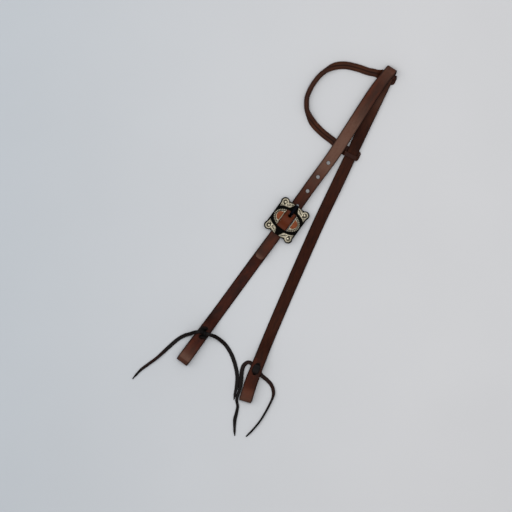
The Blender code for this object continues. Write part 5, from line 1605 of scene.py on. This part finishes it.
# %% Bead rim with Geometry Nodes
rim_tree, given, out = node_group(
    "beaded rim",
    (
        ("Semi Along", "NodeSocketFloat", RING_ALONG - 0.0012),
        ("Semi Across", "NodeSocketFloat", RING_ACROSS - 0.0012),
        ("Beads", "NodeSocketInt", 14),
        ("Bead Radius", "NodeSocketFloat", 0.00100),
        ("Bead Stretch", "NodeSocketFloat", 1.4),
        ("Band Offset", "NodeSocketFloat", 0.0023),
        ("Band Radius", "NodeSocketFloat", 0.0007),
        ("Start", "NodeSocketFloat", 0.50),
        ("Material", "NodeSocketMaterial", None),
    ),
)
size = given.outputs
sweep = add_node(rim_tree, MATH, {"operation": "MULTIPLY_ADD", 1: -2.0, 2: math.pi}, {0: size["Start"]})
arc = add_node(
    rim_tree,
    "GeometryNodeCurveArc",
    {"Resolution": 120, "Radius": 1.0},
    {"Start Angle": size["Start"], "Sweep Angle": sweep.outputs[0]},
)
stretch = add_node(rim_tree, JOIN_XYZ, {"Z": 1.0}, {"X": size["Semi Along"], "Y": size["Semi Across"]})
oval = add_node(
    rim_tree, "GeometryNodeTransform", links={"Geometry": arc.outputs["Curve"], "Scale": stretch.outputs[0]}
)
steps = add_node(
    rim_tree, "GeometryNodeResampleCurve", {"mode": "COUNT"}, {"Curve": oval.outputs[0], "Count": size["Beads"]}
)
bead = add_node(rim_tree, "GeometryNodeMeshUVSphere", {"Segments": 12, "Rings": 8}, {"Radius": size["Bead Radius"]})
spot = add_node(rim_tree, "GeometryNodeInputPosition")
outward = add_node(rim_tree, "FunctionNodeAlignRotationToVector", {"axis": "X"}, {"Vector": spot.outputs[0]})
longer = add_node(rim_tree, JOIN_XYZ, {"Y": 1.0, "Z": 1.0}, {"X": size["Bead Stretch"]})
beads = add_node(
    rim_tree,
    "GeometryNodeInstanceOnPoints",
    links={
        "Points": steps.outputs[0],
        "Instance": bead.outputs["Mesh"],
        "Rotation": outward.outputs[0],
        "Scale": longer.outputs[0],
    },
)

# %% [markdown]
# The band is a round wire along the same arc, drawn in by the band's offset. One side's beads and band are joined,
# turned half round for the other side, made real, shaded smooth and given their material.

# %% The band, the other side and the finished rim
narrow = add_node(rim_tree, JOIN_XYZ, {"Z": 1.0})
for axis, label in (("X", "Semi Along"), ("Y", "Semi Across")):
    drawn_in = add_node(rim_tree, MATH, {"operation": "SUBTRACT"}, {0: size[label], 1: size["Band Offset"]})
    rim_tree.links.new(drawn_in.outputs[0], narrow.inputs[axis])
inner = add_node(
    rim_tree,
    "GeometryNodeTransform",
    {"Translation": (0.0, 0.0, -0.0004)},
    {"Geometry": arc.outputs["Curve"], "Scale": narrow.outputs[0]},
)
wire = add_node(rim_tree, "GeometryNodeCurvePrimitiveCircle", {"Resolution": 16}, {"Radius": size["Band Radius"]})
band_mesh = add_node(
    rim_tree,
    "GeometryNodeCurveToMesh",
    {"Fill Caps": True},
    {"Curve": inner.outputs[0], "Profile Curve": wire.outputs["Curve"]},
)
side_arc = add_node(rim_tree, "GeometryNodeJoinGeometry", links={0: beads.outputs[0]})
rim_tree.links.new(band_mesh.outputs[0], side_arc.inputs[0])
other_arc = add_node(
    rim_tree, "GeometryNodeTransform", {"Rotation": (0.0, 0.0, math.pi)}, {"Geometry": side_arc.outputs[0]}
)
both = add_node(rim_tree, "GeometryNodeJoinGeometry", links={0: side_arc.outputs[0]})
rim_tree.links.new(other_arc.outputs[0], both.inputs[0])
real = add_node(rim_tree, "GeometryNodeRealizeInstances", links={"Geometry": both.outputs[0]})
round_shade = add_node(rim_tree, "GeometryNodeSetShadeSmooth", links={"Geometry": real.outputs[0]})
painted = add_node(
    rim_tree, "GeometryNodeSetMaterial", links={"Geometry": round_shade.outputs[0], "Material": size["Material"]}
)
rim_tree.links.new(painted.outputs[0], out.inputs["Geometry"])
rim = run_tree("beaded_rim", rim_tree, {"Material": silver})
print("rim: %d faces" % len(rim.data.polygons))

# %% [markdown]
# The patina stays between the beads and in the groove inside them, and only their tops are polished.

# %% The rim's place and its patina
places = np.empty(len(rim.data.vertices) * 3)
rim.data.vertices.foreach_get("co", places)
low_parts = np.clip(0.55 - places.reshape(-1, 3)[:, 2] / 0.0007, 0.0, 1.0)
rim.data.attributes.new("tarnish_and_light", "FLOAT", "POINT").data.foreach_set("value", low_parts)
seated = Matrix.Translation((0.0, 0.0, FRAME_TOP + 0.00045)) @ Matrix.Diagonal((1.0, 1.0, 0.8, 1.0))
rim.data.transform(buckle_place @ seated)
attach(rim, "headstall")
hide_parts("bead_rim")

# %% [markdown]
# ### Copper fields
#
# Between the rim and the strap lies a copper coloured field, slightly domed, stippled with a round punch and framed
# by a thin paler line.

# %% Copper fields
COPPER_ALONG, COPPER_ACROSS, PUNCH_STEP = 0.0068, 0.0168, 0.00095


def field(name, side):
    """One D-shaped field, whose straight side lies along the lip."""
    base = LIP_OUTER + 0.0001
    outline = []
    for step in range(41):
        angle = math.pi * step / 40
        x = COPPER_ALONG * math.cos(angle) + 0.0005
        outline.append((x, side * (base + (COPPER_ACROSS - base) * math.sin(angle))))

    def rule(points, away):
        pits = np.sin(points[:, 0] * 2 * math.pi / PUNCH_STEP) * np.sin(points[:, 1] * 2 * math.pi / PUNCH_STEP)
        inner = np.clip((away - 0.0006) / 0.0003, 0.0, 1.0)
        lift = rounded_edge(away, 0.0003) + 0.0002 * np.clip(away / 0.002, 0.0, 1.0) + 0.00006 * pits * inner
        return lift, 0.45 * inner * (0.5 - 0.5 * pits) + 0.35 * np.exp(-away / 0.0002)

    piece = relief("field", [outline], 0.00028, FRAME_TOP + GAP, FRAME_TOP + GAP + 0.0005, rule, copper)
    piece.name = piece.data.name = name + "_stippled"
    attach(piece, "headstall")
    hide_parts(name)


field("copper_field_left", 1.0)
field("copper_field_right", -1.0)

# %% [markdown]
# ### Heel bar and tongue
#
# The heel bar is a plain round pin that the cheek piece is folded over. The tongue turns on it with a rolled eye,
# rises through the billet's hole and rests on the far end bar. It is blued steel, dark with a cold sheen.

# %% Heel bar
PIN_SIDES = 32


def spun_pin(radius, half, rounding):
    """A round pin with softened ends, lying across the buckle at the heel bar's level."""
    mesh = bmesh.new()
    depth = mesh.verts.layers.float.new("tarnish_and_light")
    spots = []
    for step in range(5):
        angle = math.pi / 2 * (1.0 - step / 4)
        spots.append((-half + rounding - rounding * math.sin(angle), radius - rounding + rounding * math.cos(angle)))
    spots += [(-x, r) for x, r in spots[::-1]]
    rows = []
    for x, r in spots:
        ring = []
        for index in range(PIN_SIDES):
            angle = 2.0 * math.pi * index / PIN_SIDES
            vert = mesh.verts.new((r * math.cos(angle), x, HEEL_LEVEL + r * math.sin(angle)))
            vert[depth] = 0.35
            ring.append(vert)
        rows.append(ring)
    skin_rings(mesh, rows)
    bmesh.ops.transform(mesh, matrix=buckle_place, verts=mesh.verts)
    return finish_mesh("pin", mesh, [steel])


joined("heel_bar_pin", [spun_pin(HEEL_RADIUS, WINDOW_HALF + GAP + 0.0037, 0.0004)], "headstall", "heel_bar")

# %% [markdown]
# The tongue's side view is a line through eight points, from its eye up through the billet's hole and over to its
# tip. It is wider where it drops behind the window and at its blunt tip, whose upper face is painted bright as a
# highlight.

# %% The tongue's line and widths
TONGUE_WIDTH, TONGUE_THICK = 0.0036, 0.0018
tongue_width = profile(
    ((0.0085, TONGUE_WIDTH), (0.0115, 0.0052), (0.0155, TONGUE_WIDTH), (0.021, TONGUE_WIDTH), (0.025, 0.0047))
)
eye_inner = HEEL_RADIUS + GAP
eye_outer = eye_inner + 0.0015
crest = FRAME_TOP + GAP + 0.0009 + GAP + TONGUE_THICK / 2.0
tongue_knots = (
    (eye_outer - TONGUE_THICK / 2.0, HEEL_LEVEL),
    (TONGUE_HOLE * 0.64, HEEL_LEVEL + TONGUE_THICK / 8.0),
    (TONGUE_HOLE * 0.91, BILLET_LEVEL - LEATHER / 2.0),
    (TONGUE_HOLE * 1.09, FRAME_BOTTOM - GAP),
    (RIM_INNER * 0.99, crest - TONGUE_THICK / 8.0),
    (0.0155, crest + TONGUE_THICK / 3.0),
    (FRAME_LONG * 0.86, crest),
    (0.0275, FRAME_TOP + GAP + TONGUE_THICK / 2.0),
)
tongue_line = Route([Vector((along, 0.0, level)) for along, level in tongue_knots])
print("tongue: %.1f mm long" % (tongue_line.length * 1000))

# %% The tongue and its eye
TONGUE_STEPS, EYE_STEPS = 80, 48
eye_section = (
    (eye_inner, -0.4), (eye_inner, 0.4), (eye_inner + 0.0003, 0.5), (eye_outer - 0.0004, 0.5),
    (eye_outer, 0.38), (eye_outer, -0.38), (eye_outer - 0.0004, -0.5), (eye_inner + 0.0003, -0.5),
)  # fmt: skip
mesh = bmesh.new()
depth = mesh.verts.layers.float.new("tarnish_and_light")
rows, eye = [], []
across = Vector((0.0, 1.0, 0.0))
for step in range(TONGUE_STEPS + 1):
    share = step / TONGUE_STEPS
    point, heading = tongue_line.at(tongue_line.length * share)
    up = heading.cross(across)
    left = tongue_line.length * (1.0 - share)
    blunt = math.sqrt(max(1.0 - max(1.0 - left / 0.0020, 0.0) ** 2, 0.02))
    shape = ring_section(tongue_width(point.x) * blunt, TONGUE_THICK * (0.55 + 0.45 * blunt), 0.0008, 5, (0.0, 0.5))
    ring = []
    for x, y, edge, level in shape:
        vert = mesh.verts.new(point + across * x - up * y)
        # Painted highlight: the upper face of the blunt tip gets little tarnish, so it shows bright steel.
        vert[depth] = 0.95 - 0.62 * max(-level, 0.0) * ease((point.x - 0.0246) / 0.0012)
        ring.append(vert)
    rows.append(ring)
for index in range(EYE_STEPS):
    turn = 2.0 * math.pi * index / EYE_STEPS
    ring = []
    for radius, x in eye_section:
        vert = mesh.verts.new((radius * math.cos(turn), x * TONGUE_WIDTH, HEEL_LEVEL + radius * math.sin(turn)))
        vert[depth] = 0.6
        ring.append(vert)
    eye.append(ring)
skin_rings(mesh, rows)
skin_rings(mesh, eye, closed=True)
bmesh.ops.transform(mesh, matrix=buckle_place, verts=mesh.verts)
joined("tongue_blued", [finish_mesh("tongue", mesh, [steel], 45.0)], "tongue", "buckle_tongue")

# %% [markdown]
# ## The board and the light
#
# The board is a matt, pale grey sheet, painted darker and cooler towards the left as painted shade where the light
# falls off. The light is soft and comes from all round: most of it from a ceiling lamp, some from a window on the
# left, and a little from the right and from beyond the crown. So the shadows are faint and fall to the right. The
# leather has little gloss, so the ceiling doesn't wash it out.

# %% Board
BOARD_HALF = 2.5
board_mesh = bmesh.new()
bmesh.ops.create_grid(board_mesh, x_segments=1, y_segments=1, size=BOARD_HALF)
board_finish, tree = new_material("matt grey board")
where = add_node(tree, "ShaderNodeTexCoord")
turned = add_node(tree, "ShaderNodeMapping", {"Rotation": (0.0, 0.0, -BOARD_TURN)}, {"Vector": where.outputs["Object"]})
seen = add_node(tree, "ShaderNodeSeparateXYZ", links={0: turned.outputs[0]})
# Painted shade: the board's colour goes from a darker, cooler grey on the left to a lighter grey on the right.
painted_falloff = add_node(
    tree, RANGE, {"interpolation_type": "SMOOTHSTEP", "From Min": -0.75, "From Max": 0.25}, {"Value": seen.outputs["X"]}
)
haze = add_node(tree, NOISE, {"Scale": 5.0, "Detail": 2.0}, {"Vector": where.outputs["Object"]})
settings = {"From Min": 0.3, "From Max": 0.7, "To Min": 0.985, "To Max": 1.01}
even = add_node(tree, RANGE, settings, {"Value": haze.outputs["Fac"]})
tones = {"data_type": "RGBA", 6: linear("#BCC3C9"), 7: linear("#D3D3D4")}
tone = add_node(tree, MIX, tones, {0: painted_falloff.outputs[0]})
hazed = add_node(tree, VECTOR, {"operation": "SCALE"}, {0: tone.outputs[2], "Scale": even.outputs[0]})
shader = add_node(
    tree, "ShaderNodeBsdfPrincipled", {"Roughness": 0.85, "Specular IOR Level": 0.1}, {"Base Color": hazed.outputs[0]}
)
add_node(tree, "ShaderNodeOutputMaterial", links={"Surface": shader.outputs[0]})
board = finish_mesh("board", board_mesh, [board_finish])

# %% Soft studio light
studio = bpy.data.worlds.new("studio")
studio.use_nodes = True
background = studio.node_tree.nodes["Background"]
background.inputs["Color"].default_value = linear("#F4F6FA")
background.inputs["Strength"].default_value = 0.42
bpy.context.scene.world = studio


def soft_lamp(name, place, size, power):
    """A large square lamp that looks at the middle of the board."""
    light = bpy.data.lights.new(name, "AREA")
    light.shape, light.size, light.energy = "SQUARE", size, power
    lamp = bpy.data.objects.new(name, light)
    lamp.location = place
    lamp.rotation_euler = (Vector((0.0, -0.03, 0.0)) - Vector(place)).to_track_quat("-Z", "Y").to_euler()
    bpy.context.scene.collection.objects.link(lamp)


soft_lamp("left window", (-1.4, -0.4, 2.2), 1.8, 14.5)
soft_lamp("ceiling", (0.0, 0.1, 2.6), 1.3, 25.5)
soft_lamp("right wall", (1.3, 0.8, 2.2), 1.8, 5.0)
soft_lamp("far wall", (-0.2, 1.6, 2.2), 1.8, 4.0)
print("lamps:", ", ".join(light.name for light in bpy.data.lights))
bpy.context.scene.view_settings.view_transform = "Standard"
